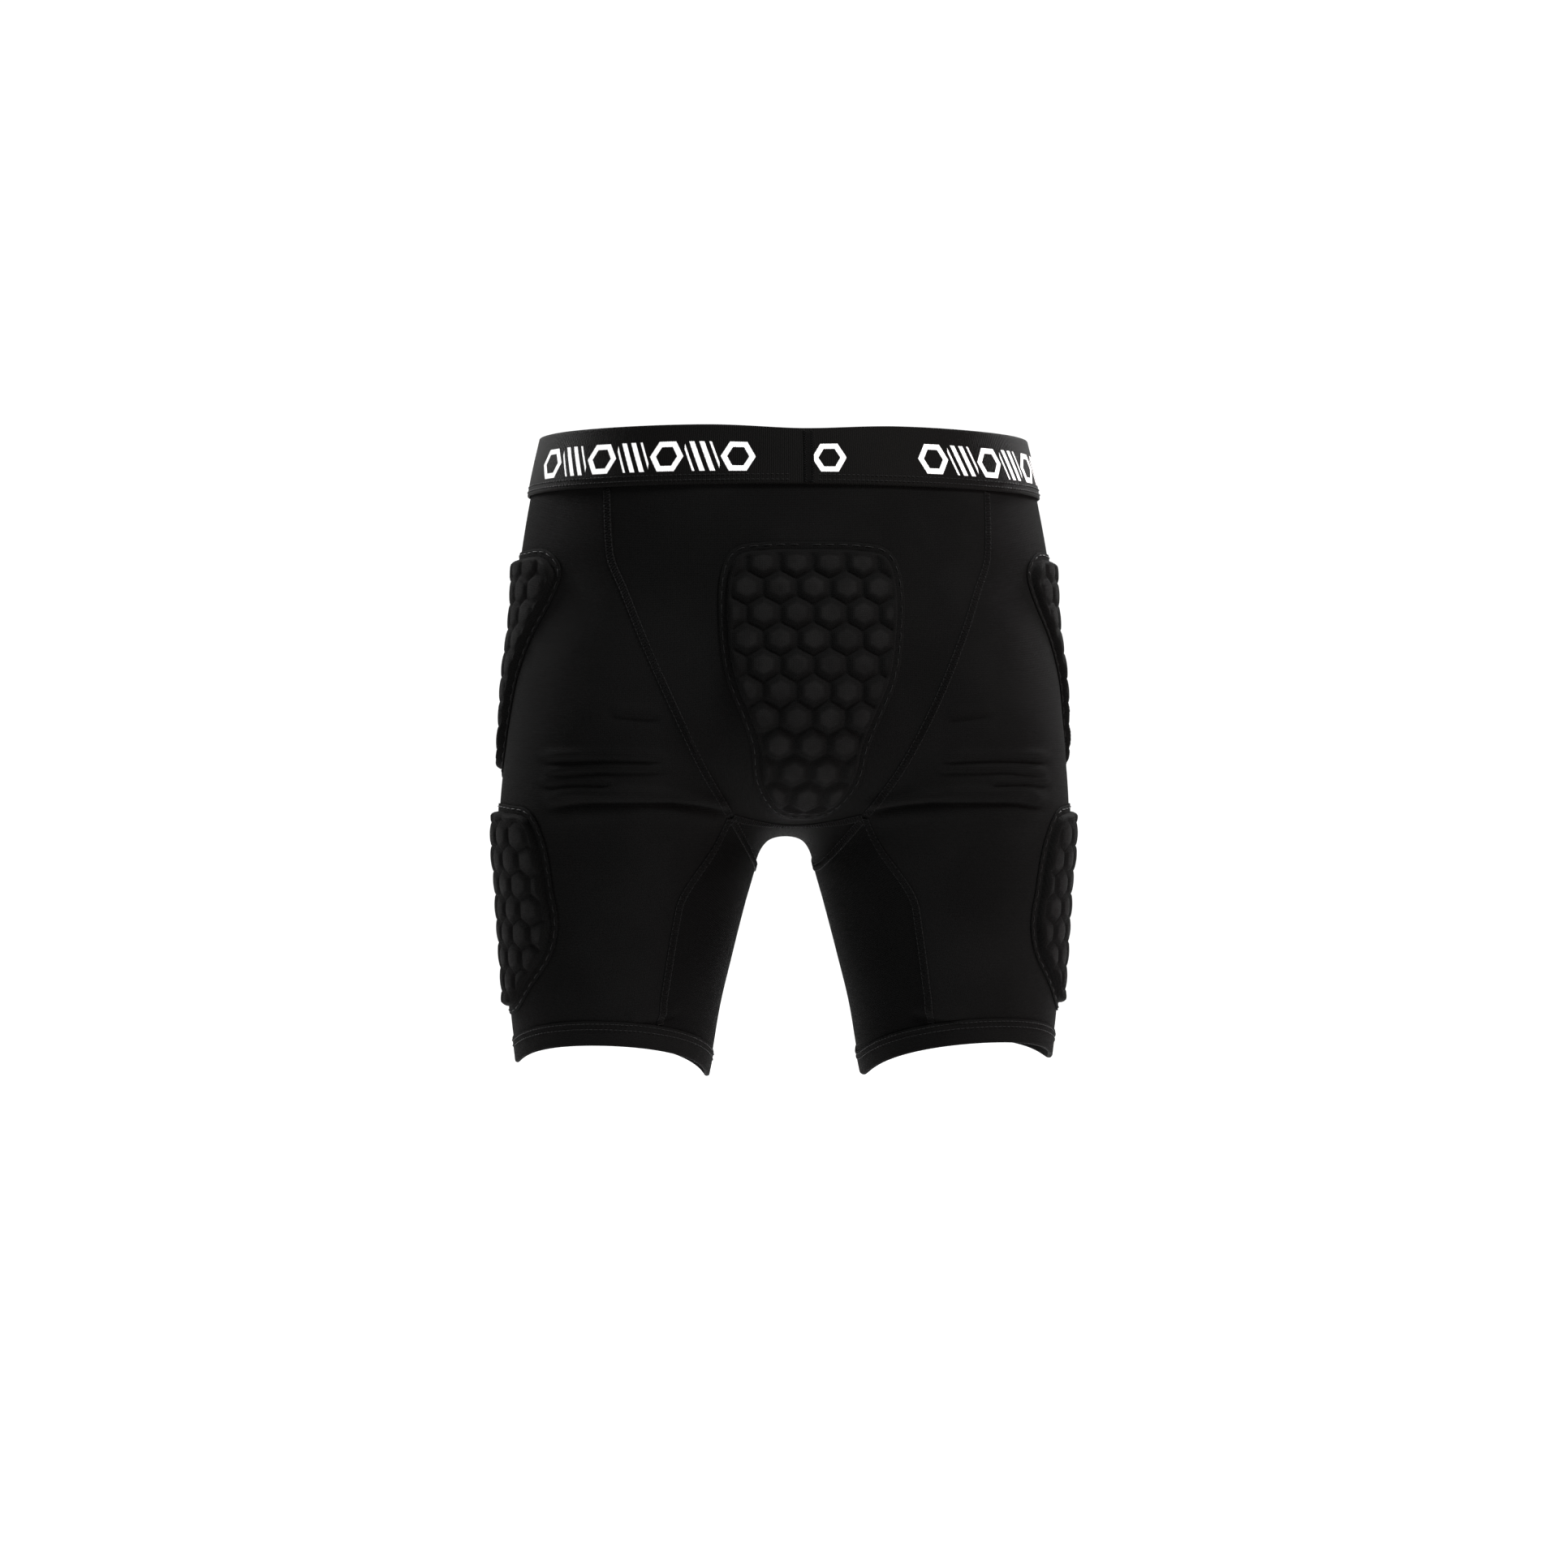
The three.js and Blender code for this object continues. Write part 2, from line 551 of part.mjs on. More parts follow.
/** A solid whose rings of points follow a pad's outline. Each ring is [inset, share, height]. */
function padSolid(pad, rings, toMiddle) {
  const loops = rings.map(([inset, share, height]) =>
    insetPoints(pad, inset, share).map((p) => lift(pad.place(p.x, p.y), height)),
  );
  if (!toMiddle) return ring(loops[0].map((_, k) => loops.map((loop) => loop[k])));
  const count = loops[0].length;
  const at = (r, c) => r * count + c;
  const points = loops.flat();
  const triangles = gridTriangles(loops.length, count, at, false, true);
  const middle = [0, loops.length - 1].map((r) => points.push(lift(pad.place(0, 0), rings[r][2])) - 1);
  for (let c = 0; c < count; c++) {
    const next = (c + 1) % count;
    triangles.push([middle[0], at(0, next), at(0, c)]);
    triangles.push([middle[1], at(loops.length - 1, c), at(loops.length - 1, next)]);
  }
  return closedGeometry(points, triangles);
}

/** Pad cover: a domed tray of fabric, open underneath, with a sewn-down rim. */
function padCover(pad) {
  const inside = COVER_TOP - COVER_FABRIC;
  return padSolid(
    pad,
    [
      ...pad.rings.map((share) => [COVER_FABRIC, share, inside]),
      [COVER_FABRIC, 1, inside],
      [COVER_FABRIC, 1, COVER_FOOT],
      [-PAD_FLANGE, 1, COVER_FOOT],
      [-PAD_FLANGE, 1, FLANGE_TOP],
      [0, 1, FLANGE_TOP],
      [0, 1, inside],
      [COVER_FABRIC, 1, COVER_TOP],
      ...pad.rings.toReversed().map((share) => [COVER_FABRIC, share, COVER_TOP]),
    ],
    true,
  );
}

/** Zigzag stitch that sews a pad's rim down. */
function padStitch(pad) {
  const [foot, top] = [FLANGE_TOP + LAYER_GAP, FLANGE_TOP + LAYER_GAP + STITCH_THICKNESS];
  const [near, far] = [-PAD_FLANGE / 3, -PAD_FLANGE + LAYER_GAP];
  return padSolid(pad, [[near, 1, foot], [far, 1, foot], [far, 1, top], [near, 1, top]], false);
}

/** Whether a point lies inside a polygon. */
function inside(polygon, s, t) {
  let hit = false;
  polygon.forEach((a, i) => {
    const b = polygon[(i + 1) % polygon.length];
    if (a.y > t !== b.y > t && s < ((b.x - a.x) * (t - a.y)) / (b.y - a.y) + a.x) hit = !hit;
  });
  return hit;
}

/** Foam pad: rows of six-sided cells, pointed end up, on one thin web. Its edge follows the cells. */
function padFoam(pad) {
  const room = insetPoints(pad, COVER_FABRIC + PAD_CLEARANCE);
  const reach = CELL_PITCH / Math.sqrt(3);
  const rowHeight = (CELL_SQUASH * CELL_PITCH * Math.sqrt(3)) / 2;
  const points = [];
  const numbers = new Map();
  const number = (s, t, height) => {
    const key = [s, t, height].map((v) => Math.round(10 * v)).join(" ");
    if (!numbers.has(key)) numbers.set(key, points.push(lift(pad.place(s, t), height)) - 1);
    return numbers.get(key);
  };
  const triangles = [];
  const rims = new Map();
  const most = Math.ceil(150 / CELL_PITCH);
  for (let row = -most; row <= most; row++)
    for (let column = -most; column <= most; column++) {
      const s = pad.firstCell[0] + (column + (Math.abs(row) % 2) / 2) * CELL_PITCH;
      const t = pad.firstCell[1] + row * rowHeight;
      const corners = steps(6).slice(1).map((k) => {
        const angle = 2 * Math.PI * k + Math.PI / 2;
        return [reach * Math.cos(angle), CELL_SQUASH * reach * Math.sin(angle)];
      });
      if (!corners.every(([ds, dt]) => inside(room, s + ds, t + dt))) continue;
      const loop = (share, height) => corners.map(([ds, dt]) => number(s + share * ds, t + share * dt, height));
      const foot = loop(1, FOAM_FOOT);
      const web = loop(1, FOAM_FOOT + FOAM_WEB);
      const top = loop(1 - CELL_GROOVE / CELL_PITCH, FOAM_TOP);
      const [under, over] = [number(s, t, FOAM_FOOT), number(s, t, FOAM_TOP)];
      for (let k = 0; k < 6; k++) {
        const next = (k + 1) % 6;
        triangles.push([under, foot[next], foot[k]], [over, top[k], top[next]]);
        triangles.push([web[k], web[next], top[next]], [web[k], top[next], top[k]]);
        const shared = `${foot[next]} ${foot[k]}`;
        if (!rims.delete(shared)) rims.set(`${foot[k]} ${foot[next]}`, [foot[k], foot[next], web[next], web[k]]);
      }
    }
  for (const [a, b, c, d] of rims.values()) triangles.push([a, b, c], [a, c, d]);
  return closedGeometry(points, triangles);
}

// ---------------------------------------------------------------- materials
const material = (color, roughness) => new THREE.MeshStandardMaterial({ color, roughness, metalness: 0 });
const SHELL_KNIT = material(0x121213, 0.8);
const INNER_KNIT = material(0x151416, 0.85);
const ELASTIC = material(0x0e0d0f, 0.75);
const THREAD = material(0x1a191b, 0.6);
const PAD_KNIT = material(0x151415, 0.8);
const FOAM = material(0x2a2a2c, 0.9);

// ---------------------------------------------------------------- assembly
const shorts = new THREE.Group();

function add(name, geometry, finish, parent = shorts) {
  const mesh = new THREE.Mesh(geometry, finish);
  mesh.name = name;
  parent.add(mesh);
}

add("seat_panel", centrePanel(BEHIND), SHELL_KNIT);
add("front_panel", centrePanel(AHEAD), SHELL_KNIT);
add("crotch_gusset", gusset(), INNER_KNIT);
add("waistband", waistband(), ELASTIC);
add("waistband_join", waistbandJoin(), THREAD);
add("waistband_stitch", waistbandStitch(), THREAD);

/** The line of the seam between gusset and seat or front panel, clear of the seams at its ends. */
const gussetEnd = (face) => steps(12).map((s) => centreEdge(face, lerp(-0.88, 0.88, s)));
add("seat_gusset_seam", seam(gussetEnd(BEHIND), STRIP_WIDTH, SEAM_FOOT, SEAM_TOP), THREAD);
add("front_gusset_seam", seam(gussetEnd(AHEAD), STRIP_WIDTH, SEAM_FOOT, SEAM_TOP), THREAD);

const tailbone = { cover: padCover(TAILBONE), foam: padFoam(TAILBONE), stitch: padStitch(TAILBONE) };
add("tailbone_pad_cover", tailbone.cover, PAD_KNIT);
add("tailbone_pad_foam", tailbone.foam, FOAM);
add("tailbone_pad_stitch", tailbone.stitch, THREAD);

const SEAM_TRIM = 4; // clear ends where seams meet
const seamStart = (BAND_OVERLAP + SEAM_TRIM) / (JOIN_DROP - SHELL_TOP);
const innerStart = SEAM_TRIM / (OUTSEAM - JOIN_DROP);
const innerEnd = 1 - SEAM_TRIM / 2 / (OUTSEAM - JOIN_DROP - HEM_ARCH_BACK - HEM_HEIGHT);
const sideParts = [
  ["thigh_panel", thighPanel(), SHELL_KNIT],
  ["inner_thigh_panel", innerThighPanel(), INNER_KNIT],
  ["hem_band", hemBand(), SHELL_KNIT],
  ["hem_stitch", hemStitch(), THREAD],
];
const faces = [["seat", "inner_back", BEHIND], ["front", "inner_front", AHEAD]];
for (const [upperName, lowerName, face] of faces) {
  const upper = steps(2 * PANEL_ROWS).map((s) => panelEdge(face, lerp(seamStart, 1 - seamStart / 3, s)));
  const lower = steps(2 * LEG_ROWS).map((s) => {
    const share = lerp(innerStart, innerEnd, s);
    return onLeg(innerSeamAngle(face, share), share);
  });
  sideParts.push([`${upperName}_seam`, seam(upper, STRIP_WIDTH, SEAM_FOOT, SEAM_TOP), THREAD]);
  sideParts.push([`${lowerName}_seam`, seam(lower, STRIP_WIDTH, SEAM_FOOT, SEAM_TOP), THREAD]);
}
const gussetSide = steps(12).map((s) => onInnerThigh(lerp(-0.86, 0.86, s), 0));
sideParts.push(["gusset_seam", seam(gussetSide, STRIP_WIDTH, SEAM_FOOT, SEAM_TOP), THREAD]);
for (const pad of [HIP, THIGH_PAD]) {
  sideParts.push([`${pad.name}_pad_cover`, padCover(pad), PAD_KNIT]);
  sideParts.push([`${pad.name}_pad_foam`, padFoam(pad), FOAM]);
  sideParts.push([`${pad.name}_pad_stitch`, padStitch(pad), THREAD]);
}

for (const [side, mirror] of [["right", 1], ["left", -1]]) {
  const half = new THREE.Group();
  half.scale.x = mirror;
  shorts.add(half);
  for (const [name, geometry, finish] of sideParts) add(`${side}_${name}`, geometry, finish, half);
}

export default shorts;
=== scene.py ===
"""Padded impact shorts in their worn shape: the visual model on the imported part's frame.

Every layer lies on one smooth body surface, which is worked out in millimetres, and Blender's
objects are in metres. +X is to the right of someone looking at the seat, and -Y is the back.
"""

import logging
import math
from dataclasses import dataclass, field
from enum import Enum
from typing import Callable, Iterable, Optional, Sequence, Union

import bmesh
import bpy
import numpy as np
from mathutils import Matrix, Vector


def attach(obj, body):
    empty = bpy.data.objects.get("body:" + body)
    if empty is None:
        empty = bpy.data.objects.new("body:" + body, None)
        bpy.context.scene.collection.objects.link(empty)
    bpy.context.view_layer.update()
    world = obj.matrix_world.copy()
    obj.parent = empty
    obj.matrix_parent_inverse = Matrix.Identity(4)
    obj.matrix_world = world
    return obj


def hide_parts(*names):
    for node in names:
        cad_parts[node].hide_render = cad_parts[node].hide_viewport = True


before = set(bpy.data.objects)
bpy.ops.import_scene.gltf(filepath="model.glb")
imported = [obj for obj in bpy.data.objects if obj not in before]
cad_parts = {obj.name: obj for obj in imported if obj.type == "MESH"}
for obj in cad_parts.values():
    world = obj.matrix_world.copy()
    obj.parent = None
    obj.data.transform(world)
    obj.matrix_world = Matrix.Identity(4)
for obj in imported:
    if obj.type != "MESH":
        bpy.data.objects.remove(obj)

LOG = logging.getLogger("impact_shorts")
MM = 0.001
MIRROR = np.array([-1.0, 1.0, 1.0])

Numbers = Union[float, np.ndarray]
Place = Callable[[np.ndarray, np.ndarray], np.ndarray]


# ---------------------------------------------------------------- named choices
class Face(Enum):
    """Which way a panel faces."""

    BACK = -1
    FRONT = 1


class Side(Enum):
    """Which half of the shorts, as someone looking at the seat sees it."""

    RIGHT = 1
    LEFT = -1

    @property
    def label(self) -> str:
        """The side's word in piece names."""
        return self.name.lower()


class Slot(Enum):
    """The record's material slots."""

    SHELL = "shell_knit"
    INNER = "inner_knit"
    ELASTIC = "elastic"
    THREAD = "thread"
    PAD = "pad_knit"
    FOAM = "foam"


# ---------------------------------------------------------------- small sums
def smooth_step(value: Numbers, low: float, high: float) -> Numbers:
    """A soft step from 0 at low to 1 at high."""
    t = np.clip((value - low) / (high - low), 0.0, 1.0)
    return t * t * (3.0 - 2.0 * t)


def soft_min(a: np.ndarray, b: np.ndarray, soft: float) -> np.ndarray:
    """The smaller of two distances, rounded over where they are within soft of each other."""
    h = np.maximum(soft - np.abs(a - b), 0.0) / soft
    return np.minimum(a, b) - h * h * soft / 4.0


def stations(table: np.ndarray, drop: np.ndarray) -> np.ndarray:
    """Reads a table of sections at the given drops.

    Args:
        table: Rows of drop and then values, sorted by drop.
        drop: Where to read it.

    Returns:
        One array for each column of values, by cubic Hermite pieces.
    """
    at = table[:, 0]
    last = len(table) - 1
    before = np.maximum(np.arange(last + 1) - 1, 0)
    after = np.minimum(np.arange(last + 1) + 1, last)
    slopes = (table[after, 1:] - table[before, 1:]) / (at[after] - at[before])[:, None]
    d = np.clip(drop, at[0], at[-1])
    i = np.clip(np.searchsorted(at, d) - 1, 0, last - 1)
    span = at[i + 1] - at[i]
    t = ((d - at[i]) / span)[..., None]
    start, end = table[i, 1:], table[i + 1, 1:]
    leave, arrive = slopes[i] * span[..., None], slopes[i + 1] * span[..., None]
    value = (
        (2 * t**3 - 3 * t**2 + 1) * start
        + (t**3 - 2 * t**2 + t) * leave
        + (3 * t**2 - 2 * t**3) * end
        + (t**3 - t**2) * arrive
    )
    return np.moveaxis(value, -1, 0)


def along_line(points: np.ndarray, spacing: float) -> np.ndarray:
    """A polyline's points again, evenly spaced.

    Args:
        points: The polyline's points, in order.
        spacing: About how far apart the result's points are.

    Returns:
        The points, with both ends kept.
    """
    steps = np.linalg.norm(np.diff(points, axis=0), axis=1)
    run = np.concatenate([[0.0], np.cumsum(steps)])
    count = max(2, int(round(run[-1] / spacing)) + 1)
    at = np.linspace(0.0, run[-1], count)
    return np.stack([np.interp(at, run, points[:, k]) for k in range(points.shape[1])], axis=1)


# ---------------------------------------------------------------- body and its layers
@dataclass(frozen=True)
class Body:
    """The shape under the cloth: two thigh tubes that run softly into a pelvis."""

    crotch_drop: float = 253.0
    outseam: float = 401.0
    seat_turn_drop: float = 150.0
    seat_turn_power: float = 2.2
    thigh_blend: float = 30.0
    pelvis_blend: float = 26.0
    pelvis_reach: float = 130.0
    thigh_reach: float = 84.0
    far: float = 200.0
    halvings: int = 30
    settle_rounds: int = 8
    settle_share: float = 0.7
    pelvis: np.ndarray = field(
        default_factory=lambda: np.array(
            [
                [0.0, 156.0, 109.0, -3.0],
                [38.0, 164.0, 113.0, -5.0],
                [80.0, 170.5, 117.5, -8.0],
                [130.0, 172.0, 121.0, -10.0],
                [253.0, 173.0, 121.0, -10.0],
            ]
        )
    )
    thigh: np.ndarray = field(
        default_factory=lambda: np.array(
            [
                [60.0, 72.0, 60.0, 72.0, -5.0],
                [130.0, 88.0, 73.0, 93.0, -9.0],
                [190.0, 97.5, 80.0, 103.0, -11.0],
                [228.0, 100.3, 83.0, 100.0, -9.0],
                [262.0, 101.0, 82.6, 92.0, -6.0],
                [300.0, 104.0, 76.8, 85.0, -4.0],
                [336.0, 107.7, 71.0, 79.0, -4.0],
                [374.0, 110.8, 65.5, 73.5, -5.0],
                [412.0, 112.0, 60.0, 69.0, -6.0],
            ]
        )
    )

    def sections(self, drop: np.ndarray) -> tuple[np.ndarray, np.ndarray]:
        """The pelvis's and the thigh's measures at the given drops."""
        return stations(self.pelvis, drop), stations(self.thigh, drop)

    def outside(
        self, x: np.ndarray, y: np.ndarray, drop: np.ndarray, cuts: Optional[tuple] = None
    ) -> np.ndarray:
        """Roughly how far points lie outside the body.

        Args:
            x: To the right.
            y: Towards the front.
            drop: Down from the waistband's top.
            cuts: The sections at those drops, if they are known already.

        Returns:
            Millimetres, negative inside.
        """
        (width, depth, middle), (axis_x, half_width, half_depth, axis_y) = cuts or self.sections(drop)
        turn = np.maximum(0.0, (drop - self.seat_turn_drop) / (self.crotch_drop - self.seat_turn_drop))
        flat = (x / width) ** 2 + ((y - middle) / depth) ** 2
        power = self.seat_turn_power
        share = (flat ** (power / 2) + turn**power) ** (1 / power)
        ahead = (y - axis_y) / half_depth
        right = (np.hypot((x - axis_x) / half_width, ahead) - 1) * self.thigh_reach
        left = (np.hypot((x + axis_x) / half_width, ahead) - 1) * self.thigh_reach
        thighs = soft_min(right, left, self.thigh_blend)
        return soft_min(thighs, (share - 1) * self.pelvis_reach, self.pelvis_blend)

    def level_ray(
        self, x: Numbers, y: Numbers, drop: np.ndarray, way_x: Numbers, way_y: Numbers
    ) -> np.ndarray:
        """Where level rays that start inside leave the body.

        Args:
            x: Where the rays start, to the right.
            y: Where they start, towards the front.
            drop: The drops at which they run.
            way_x: Their direction to the right.
            way_y: Their direction to the front.

        Returns:
            Points, in millimetres.
        """
        drop = np.asarray(drop, float)
        cuts = self.sections(drop)
        near, beyond = np.zeros(drop.shape), np.full(drop.shape, self.far)
        for _ in range(self.halvings):
            middle = (near + beyond) / 2
            within = self.outside(x + middle * way_x, y + middle * way_y, drop, cuts) < 0
            near, beyond = np.where(within, middle, near), np.where(within, beyond, middle)
        return np.stack(np.broadcast_arrays(x + near * way_x, y + near * way_y, -drop), axis=-1)

    def on_face(self, face: Face, x: Numbers, drop: Numbers) -> np.ndarray:
        """The points of the seat or the front at x and drop."""
        x, drop = np.broadcast_arrays(np.asarray(x, float), np.asarray(drop, float))
        return self.level_ray(x, stations(self.pelvis, drop)[2], drop, 0.0, float(face.value))

    def on_thigh(self, angle: Numbers, drop: Numbers) -> np.ndarray:
        """The points round the right thigh.

        Args:
            angle: Degrees round the thigh: 0 is the side, -90 the back.
            drop: Down from the waistband's top.

        Returns:
            Points of the body, in millimetres.
        """
        angle, drop = np.broadcast_arrays(np.asarray(angle, float), np.asarray(drop, float))
        axis_x, _, _, axis_y = stations(self.thigh, drop)
        turn = np.radians(angle)
        return self.level_ray(axis_x, axis_y, drop, np.cos(turn), np.sin(turn))

    def on_waist(self, turn: Numbers, drop: Numbers) -> np.ndarray:
        """The points round the waist.

        Args:
            turn: 0 to 1 from the middle of the back, anticlockwise from above.
            drop: Down from the waistband's top.

        Returns:
            Points of the body, in millimetres.
        """
        turn, drop = np.broadcast_arrays(np.asarray(turn, float), np.asarray(drop, float))
        width, depth, middle = stations(self.pelvis, drop)
        angle = 2 * np.pi * turn - np.pi / 2
        way = np.stack([width * np.cos(angle), depth * np.sin(angle)])
        way = way / np.linalg.norm(way, axis=0)
        return self.level_ray(0.0, middle, drop, way[0], way[1])

    def thigh_angle(self, points: np.ndarray) -> np.ndarray:
        """The angles round the right thigh at which points lie."""
        axis_x, _, _, axis_y = stations(self.thigh, -points[..., 2])
        return np.degrees(np.arctan2(points[..., 1] - axis_y, points[..., 0] - axis_x))

    def at(self, points: np.ndarray) -> np.ndarray:
        """How far points lie outside the body."""
        return self.outside(points[..., 0], points[..., 1], -points[..., 2])

    def normals(self, points: np.ndarray) -> np.ndarray:
        """The body's outward normals.

        Args:
            points: Places on or near the body.

        Returns:
            Unit vectors, one for each point.
        """
        step = 0.5 * np.eye(3)
        slope = np.stack([self.at(points + step[k]) - self.at(points - step[k]) for k in range(3)], axis=-1)
        return slope / np.linalg.norm(slope, axis=-1, keepdims=True)

    def settle(self, points: np.ndarray) -> np.ndarray:
        """Brings nearby points onto the body.

        Args:
            points: Places a few millimetres from the body at most.

        Returns:
            The points, moved along the normals until they lie on it.
        """
        moved = np.array(points, float)
        for _ in range(self.settle_rounds):
            moved = moved - self.settle_share * self.at(moved)[..., None] * self.normals(moved)
        return moved


@dataclass(frozen=True)
class Fold:
    """One crease of the stretched cloth: a valley with a soft ridge above it."""

    face: Face
    path: tuple[tuple[float, float], ...]
    depth: float = 1.5
    width: float = 2.6

    def line(self, body: Body) -> np.ndarray:
        """The crease's course on the body, smoothed.

        Args:
            body: The body that it lies on.

        Returns:
            Points from one end to the other, in millimetres.
        """
        rough = np.array(self.path)
        share = np.linspace(0, 1, len(rough))
        fine = np.linspace(0, 1, 6 * len(rough))
        x, z = np.interp(fine, share, rough[:, 0]), np.interp(fine, share, rough[:, 1])
        for _ in range(3):
            z[1:-1] = (z[:-2] + 2 * z[1:-1] + z[2:]) / 4
        return body.on_face(self.face, x, -z)


@dataclass
class Folds:
    """The creases and slow waves that every layer of the shorts shares."""

    body: Body
    creases: tuple[Fold, ...] = (
        Fold(Face.BACK, ((42, -241), (63, -237), (82, -235), (135, -235), (159, -239)), 3.3, 2.6),
        Fold(Face.BACK, ((84, -210), (123, -209), (162, -210)), 2.0, 2.2),
        Fold(Face.BACK, ((81, -216), (123, -216), (159, -219)), 1.5, 2.0),
        Fold(Face.BACK, ((115, -225), (140, -224), (162, -225)), 1.5, 2.0),
        Fold(Face.BACK, ((82, -230), (134, -230), (152, -232)), 1.4, 1.8),
        Fold(Face.BACK, ((88, -184), (104, -183), (120, -181)), 1.2, 2.4),
        Fold(Face.BACK, ((-168, -211), (-148, -213), (-116, -214), (-93, -210), (-74, -205)), 2.6, 2.4),
        Fold(Face.BACK, ((-165, -218), (-135, -220), (-116, -224), (-86, -226)), 1.5, 2.0),
        Fold(
            Face.BACK,
            ((-174, -234), (-160, -237), (-138, -239), (-106, -242), (-85, -244), (-57, -247)),
            3.3,
            2.6,
        ),
        Fold(Face.BACK, ((-166, -245), (-155, -245), (-145, -244)), 1.4, 2.0),
        Fold(Face.BACK, ((-160, -363), (-150, -364), (-139, -368)), 1.8, 2.8),
        Fold(Face.BACK, ((73, -370), (90, -373), (107, -375)), 1.5, 2.8),
        Fold(Face.FRONT, ((40, -238), (75, -228), (120, -214), (158, -206)), 3.0, 3.0),
        Fold(Face.FRONT, ((58, -212), (98, -200), (140, -192)), 1.7, 2.6),
        Fold(Face.FRONT, ((-42, -239), (-80, -227), (-118, -216), (-160, -205)), 3.0, 3.0),
        Fold(Face.FRONT, ((-66, -208), (-104, -199), (-136, -194)), 1.5, 2.6),
    )
    wave_height: float = 0.22
    lines: list[np.ndarray] = field(init=False)

    def __post_init__(self) -> None:
        """Lays the creases on the body."""
        self.lines = [crease.line(self.body) for crease in self.creases]

    def __call__(self, points: np.ndarray) -> np.ndarray:
        """How far the cloth stands in or out at points of the body.

        Args:
            points: Places on the body, in millimetres.

        Returns:
            Millimetres, outwards.
        """
        x, y, z = points[..., 0], points[..., 1], points[..., 2]
        sway = np.sin(x / 17 + 0.6 * np.sin(z / 31)) + np.sin(y / 19 + z / 23) + np.sin(z / 9 + x / 37)
        total = self.wave_height * sway * smooth_step(-z, 45, 90)
        for crease, line in zip(self.creases, self.lines):
            total = total + self.crease(points, crease, line)
        return total

    @staticmethod
    def crease(points: np.ndarray, crease: Fold, line: np.ndarray) -> np.ndarray:
        """How far one crease moves the cloth.

        Args:
            points: Places on the body.
            crease: The crease.
            line: Its course on the body.

        Returns:
            Millimetres outwards, 0 away from the crease.
        """
        w = crease.width
        reach = 6 * w
        moved = np.zeros(points.shape[:-1])
        near = np.all((points > line.min(0) - reach) & (points < line.max(0) + reach), axis=-1)
        if not near.any():
            return moved
        p = points[near]
        start, way = line[:-1], np.diff(line, axis=0)
        share = ((p[:, None] - start) * way).sum(-1) / (way * way).sum(-1)
        share = np.clip(share, 0, 1)
        gap = p[:, None] - (start + share[..., None] * way)
        away = np.linalg.norm(gap, axis=-1)
        best = away.argmin(axis=1)
        pick = np.arange(len(p))
        side = np.where(gap[pick, best, 2] < 0, -1.0, 1.0) * away[pick, best]
        run = (best + share[pick, best]) / len(way)
        fade = smooth_step(run, -0.02, 0.16) * smooth_step(-run, -1.02, -0.84)
        valley = np.exp(-((side / w) ** 2))
        ridge = 0.9 * np.exp(-(((side - 2.1 * w) / (1.5 * w)) ** 2))
        lip = 0.3 * np.exp(-(((side + 2.4 * w) / (1.7 * w)) ** 2))
        moved[near] = crease.depth * fade * (ridge - valley + lip)
        return moved


@dataclass(frozen=True)
class Layers:
    """Places pieces at heights over the body, in millimetres."""

    body: Body
    folds: Folds
    fabric: float = 1.2
    seam_foot: float = 1.3
    band_foot: float = 1.7

    def lift(self, points: np.ndarray, height: Numbers) -> np.ndarray:
        """Body points moved out by a height, with the cloth's folds."""
        total = np.asarray(height) + self.folds(points)
        return points + self.body.normals(points) * total[..., None]


